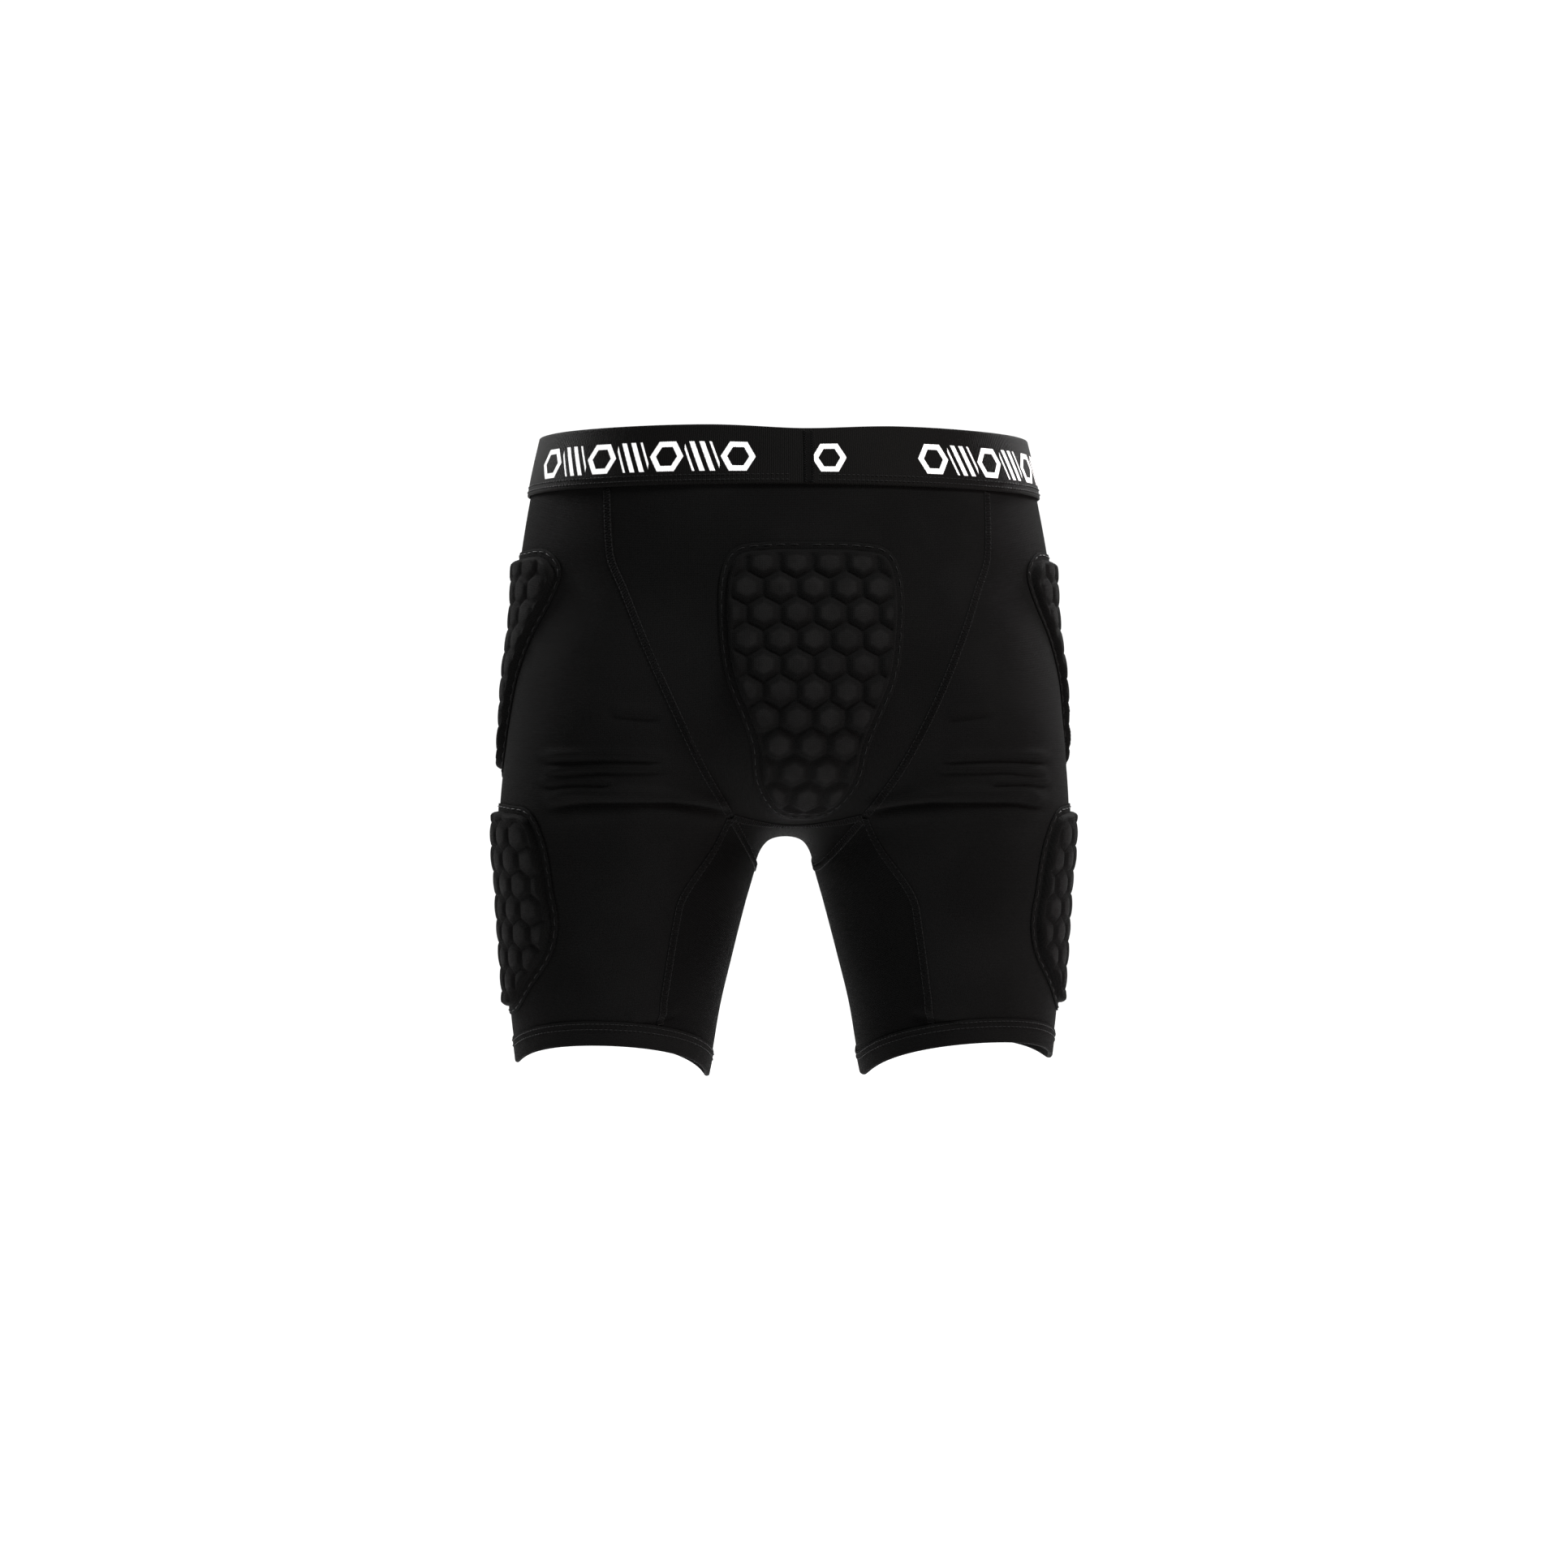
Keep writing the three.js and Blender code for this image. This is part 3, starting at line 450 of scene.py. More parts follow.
# ---------------------------------------------------------------- the cut
@dataclass(frozen=True)
class Cut:
    """Where the panels' edges run, all for the right side."""

    body: Body
    shell_top: float = 30.0
    join_drop: float = 243.0
    gusset_dip: float = 34.0
    centre_dip: float = 6.0
    seam_gap: float = 0.05
    inner_seam_angle: float = 110.0
    inner_seam_settles: float = 0.45
    hem_height: float = 14.0
    hem_arch_back: float = 20.0
    hem_arch_front: float = 12.0
    hem_softness: float = 0.25
    inseam_extra: float = 10.0
    eye_drop: float = 300.0
    sight_steps: int = 50
    sight_share: float = 0.5
    panel_inset: float = 0.003
    gusset_inset: float = 0.0035
    band_shares: tuple[float, float] = (1.5, 2.0)
    back_edge: np.ndarray = field(
        default_factory=lambda: np.array(
            [[0.0, 119], [80, 118], [103, 110], [148, 93], [190, 74], [215, 61], [243, 43]]
        )
    )
    front_edge: np.ndarray = field(
        default_factory=lambda: np.array([[0.0, 92], [80, 86], [120, 78], [190, 60], [243, 40]])
    )

    def half_width(self, face: Face, drop: Numbers) -> np.ndarray:
        """Half the width of the seat or front panel at a drop."""
        table = self.back_edge if face is Face.BACK else self.front_edge
        return stations(table, np.asarray(drop, float))[0]

    def panel_edge(self, face: Face, share: Numbers, inset: float = 0.0) -> np.ndarray:
        """The seam beside the seat or front panel, share 0 at the top to 1 at the join."""
        drop = self.shell_top + (self.join_drop - self.shell_top) * np.asarray(share, float)
        return self.body.on_face(face, self.half_width(face, drop) + inset, drop)

    def hem_drop(self, angle: Numbers) -> np.ndarray:
        """The hem's drop round the leg, which is arched behind and in front.

        Args:
            angle: Degrees round the thigh.

        Returns:
            Millimetres down from the waistband's top.
        """
        turn = np.radians(angle)
        soft = self.hem_softness
        arch = np.where(np.sin(turn) < 0, self.hem_arch_back, self.hem_arch_front)
        rise = (np.sqrt(np.sin(turn) ** 2 + soft**2) - soft) / (math.sqrt(1 + soft**2) - soft)
        return self.body.outseam + self.inseam_extra * (1 - np.cos(turn)) / 2 - arch * rise

    def inner_angle(self, face: Face, share: Numbers) -> np.ndarray:
        """The course of a seam beside the inner thigh.

        Args:
            face: The seam behind or in front.
            share: 0 at the join to 1 at the hem band.

        Returns:
            Its angle round the thigh, in degrees.
        """
        start = self.body.thigh_angle(self.panel_edge(face, 1.0))
        end = face.value * self.inner_seam_angle
        return start + (end - start) * smooth_step(np.asarray(share, float), 0.0, self.inner_seam_settles)

    def on_leg(self, angle: Numbers, share: Numbers, top: Optional[Numbers] = None) -> np.ndarray:
        """Points of the leg.

        Args:
            angle: Degrees round the thigh.
            share: 0 at top, 1 level with the hem band's top, 2 at the hem.
            top: The drop at which share is 0, if it isn't the join.

        Returns:
            Points of the body, in millimetres.
        """
        top = self.join_drop if top is None else top
        hem = self.hem_drop(angle)
        band = hem - self.hem_height
        share = np.asarray(share, float)
        drop = np.where(share > 1, band + (hem - band) * (share - 1), top + (band - top) * share)
        return self.body.on_thigh(angle, drop)

    def on_inner_thigh(self, across: Numbers, share: Numbers) -> np.ndarray:
        """Points of the inner thigh.

        Args:
            across: -1 behind to 1 in front.
            share: 0 at the gusset, 1 level with the hem band's top, 2 at the hem.

        Returns:
            Points of the body, in millimetres.
        """
        back = self.inner_angle(Face.BACK, share) + 360
        front = self.inner_angle(Face.FRONT, share)
        across = np.asarray(across, float)
        angle = back + (front - back) * (across + 1) / 2
        return self.on_leg(angle, share, self.join_drop + self.gusset_dip * (1 - across**2))

    def centre_edge(self, face: Face, across: np.ndarray) -> np.ndarray:
        """The lower edge of the seat or front panel, across -1 to 1."""
        dip = self.centre_dip * (1 - across**2)
        return self.body.on_face(face, across * self.half_width(face, self.join_drop), self.join_drop + dip)

    def from_below(self, slope: np.ndarray, y: np.ndarray) -> np.ndarray:
        """The first body points seen from below the crotch.

        Args:
            slope: The angles to the side at which they are looked for, in radians.
            y: How far in front they are looked for.

        Returns:
            Points of the body, in millimetres.
        """
        eye = np.stack(np.broadcast_arrays(0.0, y, -self.eye_drop), axis=-1)
        way = np.stack([np.sin(slope), np.zeros(slope.shape), np.cos(slope)], axis=-1)
        travel = np.zeros(slope.shape)
        for _ in range(self.sight_steps):
            travel = travel + self.sight_share * self.body.at(eye + way * travel[..., None])
        return eye + way * travel[..., None]

    def seen_from_below(self, points: np.ndarray) -> np.ndarray:
        """The slope and y at which body points are seen from below the crotch."""
        return np.stack([np.arctan2(points[..., 0], points[..., 2] + self.eye_drop), points[..., 1]])

    # ------------------------------------------------------------ grids of panel points, rows from the top
    def centre_panel(self, face: Face, rows: int, columns: int) -> np.ndarray:
        """The seat or front panel.

        Args:
            face: Which of the two.
            rows: Its strips from top to bottom.
            columns: Its strips across.

        Returns:
            A grid of body points.
        """
        share = np.linspace(0, 1, rows + 1)[:, None]
        across = np.linspace(-1, 1, columns + 1)[None, :]
        drop = self.shell_top + (self.join_drop - self.shell_top) * share
        half = self.half_width(face, drop) - self.seam_gap
        dip = self.centre_dip * (1 - across**2) - self.seam_gap
        return self.body.on_face(face, across * half, drop + dip * share)

    def thigh_panel(self, upper: int, lower: int, columns: int) -> np.ndarray:
        """The thigh panel, from the seat seam round the side to the front seam.

        Args:
            upper: Its strips above the join.
            lower: Its strips from there to the hem band.
            columns: Its strips across.

        Returns:
            A grid of body points.
        """
        t = np.linspace(0, 1, columns + 1)[None, :]
        share = np.linspace(0, 1, upper + 1)[:, None]
        back, front = (self.body.thigh_angle(self.panel_edge(f, share, self.seam_gap)) for f in Face)
        drop = self.shell_top + (self.join_drop - self.shell_top) * share
        top = self.body.on_thigh(back + (front - back) * t, drop + 0 * t)
        share = np.concatenate([np.linspace(0, 1, lower + 1)[1:], self.band_shares])[:, None]
        gap = math.degrees(self.seam_gap / self.body.thigh_reach)
        back, front = self.inner_angle(Face.BACK, share) + gap, self.inner_angle(Face.FRONT, share) - gap
        return np.concatenate([top, self.on_leg(back + (front - back) * t, share)])

    def inner_panel(self, rows: int, columns: int) -> np.ndarray:
        """The inner thigh panel, from the gusset to the hem.

        Args:
            rows: Its strips above the hem band.
            columns: Its strips across.

        Returns:
            A grid of body points.
        """
        inset = self.panel_inset
        across = np.linspace(-1, 1, columns + 1)[None, :] * (1 - inset)
        share = np.concatenate([[inset], np.linspace(0, 1, rows + 1)[1:], self.band_shares])[:, None]
        return self.on_inner_thigh(across, share)

    def gusset(self, rows: int, columns: int) -> np.ndarray:
        """The gusset: a saddle between seat, front and the two inner thighs.

        Args:
            rows: Its strips from back to front.
            columns: Its strips across.

        Returns:
            A grid of body points.
        """
        inset = self.gusset_inset
        u = np.linspace(inset, 1 - inset, columns + 1)[None, :]
        v = np.linspace(inset, 1 - inset, rows + 1)[:, None]
        back, front = (self.seen_from_below(self.centre_edge(f, 2 * u - 1)) for f in Face)
        right = self.seen_from_below(self.on_inner_thigh(2 * v - 1, 0.0))
        left = right * MIRROR[:2, None, None]
        ends = np.array([0.0, 1.0])
        back_ends, front_ends = (self.seen_from_below(self.centre_edge(f, 2 * ends - 1)) for f in Face)
        corners = (
            (1 - v) * ((1 - u) * back_ends[:, 0, None, None] + u * back_ends[:, 1, None, None])
            + v * ((1 - u) * front_ends[:, 0, None, None] + u * front_ends[:, 1, None, None])
        )
        slope, y = (1 - u) * left + u * right + (1 - v) * back + v * front - corners
        return self.from_below(slope, y)


# ---------------------------------------------------------------- meshes
def sheet_for(side: Side, grid: np.ndarray) -> np.ndarray:
    """A side's own grid of points from the right one's, with its faces still outward."""
    return grid if side is Side.RIGHT else grid[:, ::-1] * MIRROR


def lines_for(side: Side, lines: list[np.ndarray]) -> list[np.ndarray]:
    """A side's own thread lines from the right one's."""
    return lines if side is Side.RIGHT else [points * MIRROR for points in lines]


def run_lengths(grid: np.ndarray) -> tuple[np.ndarray, np.ndarray]:
    """How far each grid point lies across and along the cloth from the middle of the top row.

    Args:
        grid: Rows from the top, columns to the right, in millimetres.

    Returns:
        The distances to the right and upwards.
    """
    middle = grid.shape[1] // 2
    across = np.cumsum(np.linalg.norm(np.diff(grid, axis=1), axis=-1), axis=1)
    across = np.concatenate([np.zeros((len(grid), 1)), across], axis=1)
    across = across - across[:, middle : middle + 1]
    down = np.cumsum(np.linalg.norm(np.diff(grid[:, middle], axis=0), axis=-1))
    down = np.concatenate([[0.0], down])[:, None] + np.zeros(grid.shape[:2])
    return across, -down


class Workshop:
    """Turns grids of points, outlines and thread lines into finished objects."""

    def __init__(self, finishes: "Finishes") -> None:
        """Keeps the finishes and starts counting.

        Args:
            finishes: One material for each slot.
        """
        self.finishes = finishes
        self.triangles = 0

    def finish(self, obj: bpy.types.Object, slot: Slot, nodes: Sequence[str]) -> bpy.types.Object:
        """Dresses a piece, fixes it to the part and reports it.

        Args:
            obj: The piece, in place.
            slot: The record's slot that its finish belongs to.
            nodes: The CAD nodes that it stands for.

        Returns:
            The same object.
        """
        for polygon in obj.data.polygons:
            polygon.use_smooth = True
        obj.data.materials.clear()
        obj.data.materials.append(self.finishes.of(slot))
        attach(obj, "root")
        if nodes:
            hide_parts(*nodes)
        self.triangles += sum(len(p.vertices) - 2 for p in obj.data.polygons)
        LOG.info("built %s: %d faces", obj.name, len(obj.data.polygons))
        return obj

    def grid(
        self,
        name: str,
        points: np.ndarray,
        cloth: tuple[np.ndarray, np.ndarray],
        closed: bool = False,
    ) -> bpy.types.Object:
        """A sheet through a grid of points.

        Args:
            name: The piece's name.
            points: Rows from the top, columns to the right as seen from outside, in millimetres.
            cloth: How far each point lies across and along the cloth, in millimetres.
            closed: Whether the grid's ends meet and are joined.

        Returns:
            The object, with the cloth's distances in metres as its UV map.
        """
        rows, columns = points.shape[0] - 1, points.shape[1] - 1
        sheet = bmesh.new()
        bmesh.ops.create_grid(sheet, x_segments=columns, y_segments=rows, size=0.5)
        mesh = bpy.data.meshes.new(name)
        sheet.to_mesh(mesh)
        sheet.free()
        flat = np.empty(len(mesh.vertices) * 3, np.float32)
        mesh.vertices.foreach_get("co", flat)
        flat = flat.reshape(-1, 3)
        column = np.rint((flat[:, 0] + 0.5) * columns).astype(int)
        row = np.rint((0.5 - flat[:, 1]) * rows).astype(int)
        mesh.vertices.foreach_set("co", (points[row, column] * MM).astype(np.float32).ravel())
        corner = np.empty(len(mesh.loops), np.int32)
        mesh.loops.foreach_get("vertex_index", corner)
        uv = np.stack([cloth[0][row, column], cloth[1][row, column]], axis=-1) * MM
        mesh.uv_layers.new(name="Cloth").data.foreach_set("uv", uv[corner].astype(np.float32).ravel())
        if closed:
            joined = bmesh.new()
            joined.from_mesh(mesh)
            bmesh.ops.remove_doubles(joined, verts=joined.verts, dist=1e-6)
            joined.to_mesh(mesh)
            joined.free()
        mesh.update()
        return self.link(name, mesh)

    @staticmethod
    def link(name: str, mesh: bpy.types.Mesh) -> bpy.types.Object:
        """Puts a mesh in the scene.

        Args:
            name: The object's name.
            mesh: Its mesh.

        Returns:
            The object.
        """
        obj = bpy.data.objects.new(name, mesh)
        bpy.context.scene.collection.objects.link(obj)
        return obj

    @staticmethod
    def thicken(obj: bpy.types.Object, thickness: float) -> None:
        """Gives a sheet a thickness, outwards.

        Args:
            obj: The sheet.
            thickness: How thick it is, in millimetres.
        """
        solid = obj.modifiers.new("Fabric", "SOLIDIFY")
        solid.thickness = thickness * MM
        solid.offset = 1.0
        solid.use_rim = True

    def threads(self, name: str, lines: Iterable[np.ndarray], radius: float) -> bpy.types.Object:
        """Round threads along lines.

        Args:
            name: The piece's name.
            lines: Each line's points, in millimetres.
            radius: The thread's radius, in millimetres.

        Returns:
            One mesh object that holds all of them.
        """
        curve = bpy.data.curves.new(name, "CURVE")
        curve.dimensions = "3D"
        curve.bevel_depth = radius * MM
        curve.bevel_resolution = 1
        curve.use_fill_caps = True
        for line in lines:
            spline = curve.splines.new("POLY")
            spline.points.add(len(line) - 1)
            co = np.concatenate([line * MM, np.ones((len(line), 1))], axis=1)
            spline.points.foreach_set("co", co.astype(np.float32).ravel())
        drawn = bpy.data.objects.new(name + "_line", curve)
        mesh = bpy.data.meshes.new_from_object(drawn)
        mesh.name = name
        bpy.data.objects.remove(drawn)
        bpy.data.curves.remove(curve)
        return self.link(name, mesh)


# ---------------------------------------------------------------- shader sums
Input = Union["Wire", float, int, tuple]


class Wire:
    """One node's output, with arithmetic that adds Math nodes."""

    def __init__(self, board: "Board", socket: bpy.types.NodeSocket) -> None:
        """Wraps an output socket of a board's node."""
        self.board = board
        self.socket = socket

    def math(self, operation: str, *values: Input) -> "Wire":
        """A Math node on the given values.

        Args:
            operation: The Math node's operation.
            *values: Its inputs, in order.

        Returns:
            The result.
        """
        return self.board.add("ShaderNodeMath", {"operation": operation}, dict(enumerate(values)))

    def __add__(self, other: Input) -> "Wire":
        """The sum."""
        return self.math("ADD", self, other)

    __radd__ = __add__

    def __sub__(self, other: Input) -> "Wire":
        """The difference."""
        return self.math("SUBTRACT", self, other)

    def __rsub__(self, other: Input) -> "Wire":
        """The difference, the other way round."""
        return self.math("SUBTRACT", other, self)

    def __mul__(self, other: Input) -> "Wire":
        """The product."""
        return self.math("MULTIPLY", self, other)

    __rmul__ = __mul__

    def __truediv__(self, other: Input) -> "Wire":
        """The quotient."""
        return self.math("DIVIDE", self, other)

    def __abs__(self) -> "Wire":
        """The size without its sign."""
        return self.math("ABSOLUTE", self)

    def fraction(self) -> "Wire":
        """The part after the decimal point."""
        return self.math("FRACT", self)

    def whole(self) -> "Wire":
        """The whole number below."""
        return self.math("FLOOR", self)

    def wave(self) -> "Wire":
        """A wave from 0 to 1 that repeats every 1."""
        return self.math("SINE", self * (2 * math.pi)) * 0.5 + 0.5

    def most(self, other: Input) -> "Wire":
        """The greater of two."""
        return self.math("MAXIMUM", self, other)

    def step(self, low: float, high: float) -> "Wire":
        """A soft step from 0 to 1.

        Args:
            low: Where it is 0.
            high: Where it is 1.

        Returns:
            The step's height.
        """
        settings = {"interpolation_type": "SMOOTHSTEP"}
        values = {"Value": self, "From Min": low, "From Max": high}
        return self.board.add("ShaderNodeMapRange", settings, values)


class Board:
    """One material's nodes."""

    def __init__(self, name: str) -> None:
        """Starts a material with a shader and its output.

        Args:
            name: The material's name.
        """
        self.material = bpy.data.materials.new(name)
        self.material.use_nodes = True
        self.tree = self.material.node_tree
        self.tree.nodes.clear()
        self.shader = self.tree.nodes.new("ShaderNodeBsdfPrincipled")
        output = self.tree.nodes.new("ShaderNodeOutputMaterial")
        self.tree.links.new(self.shader.outputs["BSDF"], output.inputs["Surface"])

    def add(self, kind: str, settings: dict, values: dict, output: Union[int, str] = 0) -> Wire:
        """Adds a node.

        Args:
            kind: The node's type.
            settings: Its own settings, which are set first.
            values: What goes into its sockets, by name or number.
            output: The output to go on with.

        Returns:
            That output.
        """
        node = self.tree.nodes.new(kind)
        for key, value in settings.items():
            setattr(node, key, value)
        for key, value in values.items():
            self.feed(node.inputs[key], value)
        return Wire(self, node.outputs[output])

    def feed(self, socket: bpy.types.NodeSocket, value: Input) -> None:
        """Links a wire to a socket, or sets the socket's own value.

        Args:
            socket: A node's input.
            value: The wire or the value.
        """
        if isinstance(value, Wire):
            self.tree.links.new(value.socket, socket)
        else:
            socket.default_value = value

    def shade(self, **values: Input) -> None:
        """Sets the shader's sockets, named with underscores for spaces."""
        for key, value in values.items():
            self.feed(self.shader.inputs[key.replace("_", " ")], value)

    def cloth(self) -> tuple[Wire, Wire]:
        """Distances across and along the cloth.

        Returns:
            Both of them, in millimetres.
        """
        uv = self.add("ShaderNodeUVMap", {"uv_map": "Cloth"}, {})
        split = self.add("ShaderNodeSeparateXYZ", {}, {0: uv})
        return split * 1000.0, Wire(self, split.socket.node.outputs[1]) * 1000.0

    def noise(self, scale: float, detail: float = 2.0, roughness: float = 0.5) -> Wire:
        """Noise through the object.

        Args:
            scale: Its cells to the metre.
            detail: How many finer layers it has.
            roughness: How strong the finer layers are.

        Returns:
            The noise, from 0 to 1.
        """
        place = self.add("ShaderNodeTexCoord", {}, {}, "Object")
        values = {"Vector": place, "Scale": scale, "Detail": detail, "Roughness": roughness}
        return self.add("ShaderNodeTexNoise", {}, values)

    def blend(self, share: Input, low: Input, high: Input) -> Wire:
        """Mixes two colours.

        Args:
            share: How much of the second one there is, from 0 to 1.
            low: The first colour.
            high: The second colour.

        Returns:
            The mixed colour.
        """
        factor, first, second, mixed = 0, 6, 7, 2
        values = {factor: share, first: low, second: high}
        return self.add("ShaderNodeMix", {"data_type": "RGBA"}, values, mixed)

    def bump(self, height: Wire, distance: float, strength: float = 1.0) -> Wire:
        """A normal bumped by a height from 0 to 1 that stands for distance, in millimetres."""
        values = {"Strength": strength, "Distance": distance * MM, "Height": height}
        return self.add("ShaderNodeBump", {}, values)


def grey(value: float, warmth: float = 0.0) -> tuple[float, float, float, float]:
    """A near-grey colour, a little to the red where warmth is above 0."""
    return (value * (1 + warmth), value, value * (1 - warmth), 1.0)


# ---------------------------------------------------------------- finishes
@dataclass(frozen=True)
class Knit:
    """Stretch knit: columns of small loops, with painted shade between them and slow random changes of tone.
    """

    name: str
    dark: float = 0.0005
    light: float = 0.002
    warmth: float = 0.015
    wale: float = 0.9
    course: float = 0.8
    relief: float = 0.14
    roughness: float = 0.72
    sheen: float = 0.002
    gloss: float = 0.003

    def loops(self, board: Board) -> tuple[Wire, Wire]:
        """The loops of the knit.

        Args:
            board: The material's nodes.

        Returns:
            The loops' height and their yarn's fine specks, from 0 to 1.
        """
        across, along = board.cloth()
        leg = abs((across / self.wale).fraction() * 2.0 - 1.0)
        loop = (along / self.course + leg * 0.5).wave()
        return loop * (1.0 - leg * leg * leg * leg), board.noise(1400.0, 1.0)

    def make(self) -> bpy.types.Material:
        """Makes the material.

        Returns:
            The material, with its nodes.
        """
        board = Board(self.name)
        height, speck = self.loops(board)
        drift = board.noise(14.0, 3.0).step(0.3, 0.7)
        # The loops' height lightens their crests and darkens the hollows between them: painted shade; the
        # drift and the specks are random tone.
        tone_and_loop_shade = drift * 0.3 + height * 0.4 + speck * 0.3
        board.shade(
            Base_Color=board.blend(tone_and_loop_shade, grey(self.dark, self.warmth), grey(self.light, self.warmth)),
            Roughness=self.roughness + drift * 0.08 - height * 0.05,
            Normal=board.bump(height + speck * 0.4, self.relief),
            Specular_IOR_Level=self.gloss,
            Sheen_Weight=self.sheen,
            Sheen_Roughness=0.45,
        )
        return board.material


@dataclass(frozen=True)
class PadKnit(Knit):
    """The pads' knit, whose cell tops are rubbed a little paler."""

    rubbed: float = 0.0026

    def make(self) -> bpy.types.Material:
        """Makes the material.

        Returns:
            The material, with its nodes.
        """
        board = Board(self.name)
        height, speck = self.loops(board)
        top = board.add("ShaderNodeAttribute", {"attribute_name": "cell_top"}, {}, "Fac")
        wear = top.step(0.1, 0.7) * (board.noise(60.0, 4.0).step(0.3, 0.75) * 0.6 + 0.4)
        # The loops' height lightens their crests and darkens the hollows between them: painted shade; the
        # specks are random tone.
        tone_and_loop_shade = height * 0.6 + speck * 0.4
        plain = board.blend(tone_and_loop_shade, grey(self.dark, self.warmth), grey(self.light, self.warmth))
        board.shade(
            Base_Color=board.blend(wear, plain, grey(self.rubbed, self.warmth)),
            Roughness=self.roughness - wear * 0.1,
            Normal=board.bump(height + speck * 0.4, self.relief),
            Specular_IOR_Level=self.gloss,
            Sheen_Weight=self.sheen,
            Sheen_Roughness=0.45,
        )
        return board.material


@dataclass(frozen=True)
class Elastic:
    """Ribbed waistband elastic with a plain woven motif of rings and slanted bars."""

    name: str = "ribbed_elastic"
    dark: float = 0.0004
    light: float = 0.0014
    yarn: float = 0.36
    rib: float = 1.3
    band_middle: float = 20.5
    motif_height: float = 18.6
    group_pitch: float = 203.2
    group_start: float = 73.0
    group_length: float = 156.3
    glyph: float = 22.43
    stroke: float = 3.3
    bar_pitch: float = 6.4
    bar_width: float = 3.2
    bars_reach: float = 9.4
    slope: float = 0.42
    pick: float = 0.7

    def motif(self, around: Wire, up: Wire) -> Wire:
        """Where the pale yarn lies on top, from 0 to 1.

        Args:
            around: Millimetres round the band.
            up: Millimetres up the band, negative below its top edge.

        Returns:
            The mask.
        """
        shift = 4 * self.group_pitch - self.group_start
        run = ((around + shift) / self.group_pitch).fraction() * self.group_pitch
        soft, soft_end, soft_group = 0.25, 0.2, 0.3
        group = run.step(self.group_length + soft_group, self.group_length - soft_group)
        number = (run / self.glyph).whole()
        x = (run / self.glyph).fraction() * self.glyph - self.glyph / 2
        y = up + self.band_middle
        half = self.motif_height / 2
        hole = half - self.stroke
        hexagon = abs(y).most(abs(y) * 0.5 + abs(x) * math.sqrt(0.75))
        ring = hexagon.step(half + soft, half - soft) * hexagon.step(hole - soft, hole + soft)
        slant = x + y * self.slope
        off_bar = abs((slant / self.bar_pitch).fraction() * self.bar_pitch - self.bar_pitch / 2)
        bars = off_bar.step(self.bar_width / 2 + soft, self.bar_width / 2 - soft)
        bars = bars * abs(slant).step(self.bars_reach + soft_end, self.bars_reach - soft_end)
        bars = bars * abs(y).step(half + soft_end, half - soft_end)
        odd = (number * 0.5).fraction() * 2.0
        return group * (ring * (1.0 - odd) + bars * odd)

    def make(self) -> bpy.types.Material:
        """Makes the material.

        Returns:
            The material, with its nodes.
        """
        board = Board(self.name)
        around, up = board.cloth()
        rib = (around / self.rib).wave()
        pick = (up / self.pick + (around / self.rib).whole() * 0.5).wave()
        weave = rib * 0.7 + pick * 0.3
        mask = self.motif(around, up)
        drift = board.noise(20.0, 3.0)
        # The rib pattern lightens the colour on the ribs' crests and darkens it in the grooves, in the
        # ground and in the pale yarn: painted shade; the drift is random tone.
        ground = board.blend(weave * 0.6 + drift * 0.4, grey(self.dark, 0.05), grey(self.light, 0.05))
        yarn = board.blend(weave, grey(self.yarn * 0.72), grey(self.yarn))
        board.shade(
            Base_Color=board.blend(mask, ground, yarn),
            Roughness=0.62 + mask * 0.15,
            Normal=board.bump(weave + mask * 0.8, 0.22),
            Specular_IOR_Level=0.008,
            Sheen_Weight=0.003,
            Sheen_Roughness=0.4,
        )
        return board.material


@dataclass(frozen=True)
class Thread:
    """Sewing thread or a dense row of it."""

    name: str = "sewing_thread"
    dark: float = 0.001
    light: float = 0.003

    def make(self) -> bpy.types.Material:
        """Makes the material.

        Returns:
            The material, with its nodes.
        """
        board = Board(self.name)
        fibre = board.noise(2600.0, 2.0)
        board.shade(
            Base_Color=board.blend(fibre, grey(self.dark), grey(self.light)),
            Roughness=0.5 + fibre * 0.15,
            Normal=board.bump(fibre, 0.1),
            Specular_IOR_Level=0.03,
        )
        return board.material


@dataclass(frozen=True)
class Foam:
    """Closed-cell foam with fine pores."""

    name: str = "cell_foam"
    dark: float = 0.018
    light: float = 0.03

    def make(self) -> bpy.types.Material:
        """Makes the material.

        Returns:
            The material, with its nodes.
        """
        board = Board(self.name)
        pores = board.noise(1900.0, 3.0).step(0.35, 0.6)
        board.shade(
            Base_Color=board.blend(pores, grey(self.dark), grey(self.light)),
            Roughness=0.85 + pores * 0.1,
            Normal=board.bump(pores, 0.2),
            Specular_IOR_Level=0.3,
        )
        return board.material


class Finishes:
    """One material for each slot of the record."""

    def __init__(self) -> None:
        """Makes the materials."""
        self.materials = {
            Slot.SHELL: Knit("shell_knit_black").make(),
            # A black knit of its own, with colours made darker than the shell knit's for the shade between
            # the legs: painted shade.
            Slot.INNER: Knit(
                "inner_knit_black", dark=0.0004, light=0.0013, wale=1.2, course=1.1, relief=0.2, sheen=0.001
            ).make(),
            Slot.ELASTIC: Elastic().make(),
            Slot.THREAD: Thread().make(),
            Slot.PAD: PadKnit("pad_knit_black").make(),
            Slot.FOAM: Foam().make(),
        }

    def of(self, slot: Slot) -> bpy.types.Material:
        """A slot's material."""
        return self.materials[slot]


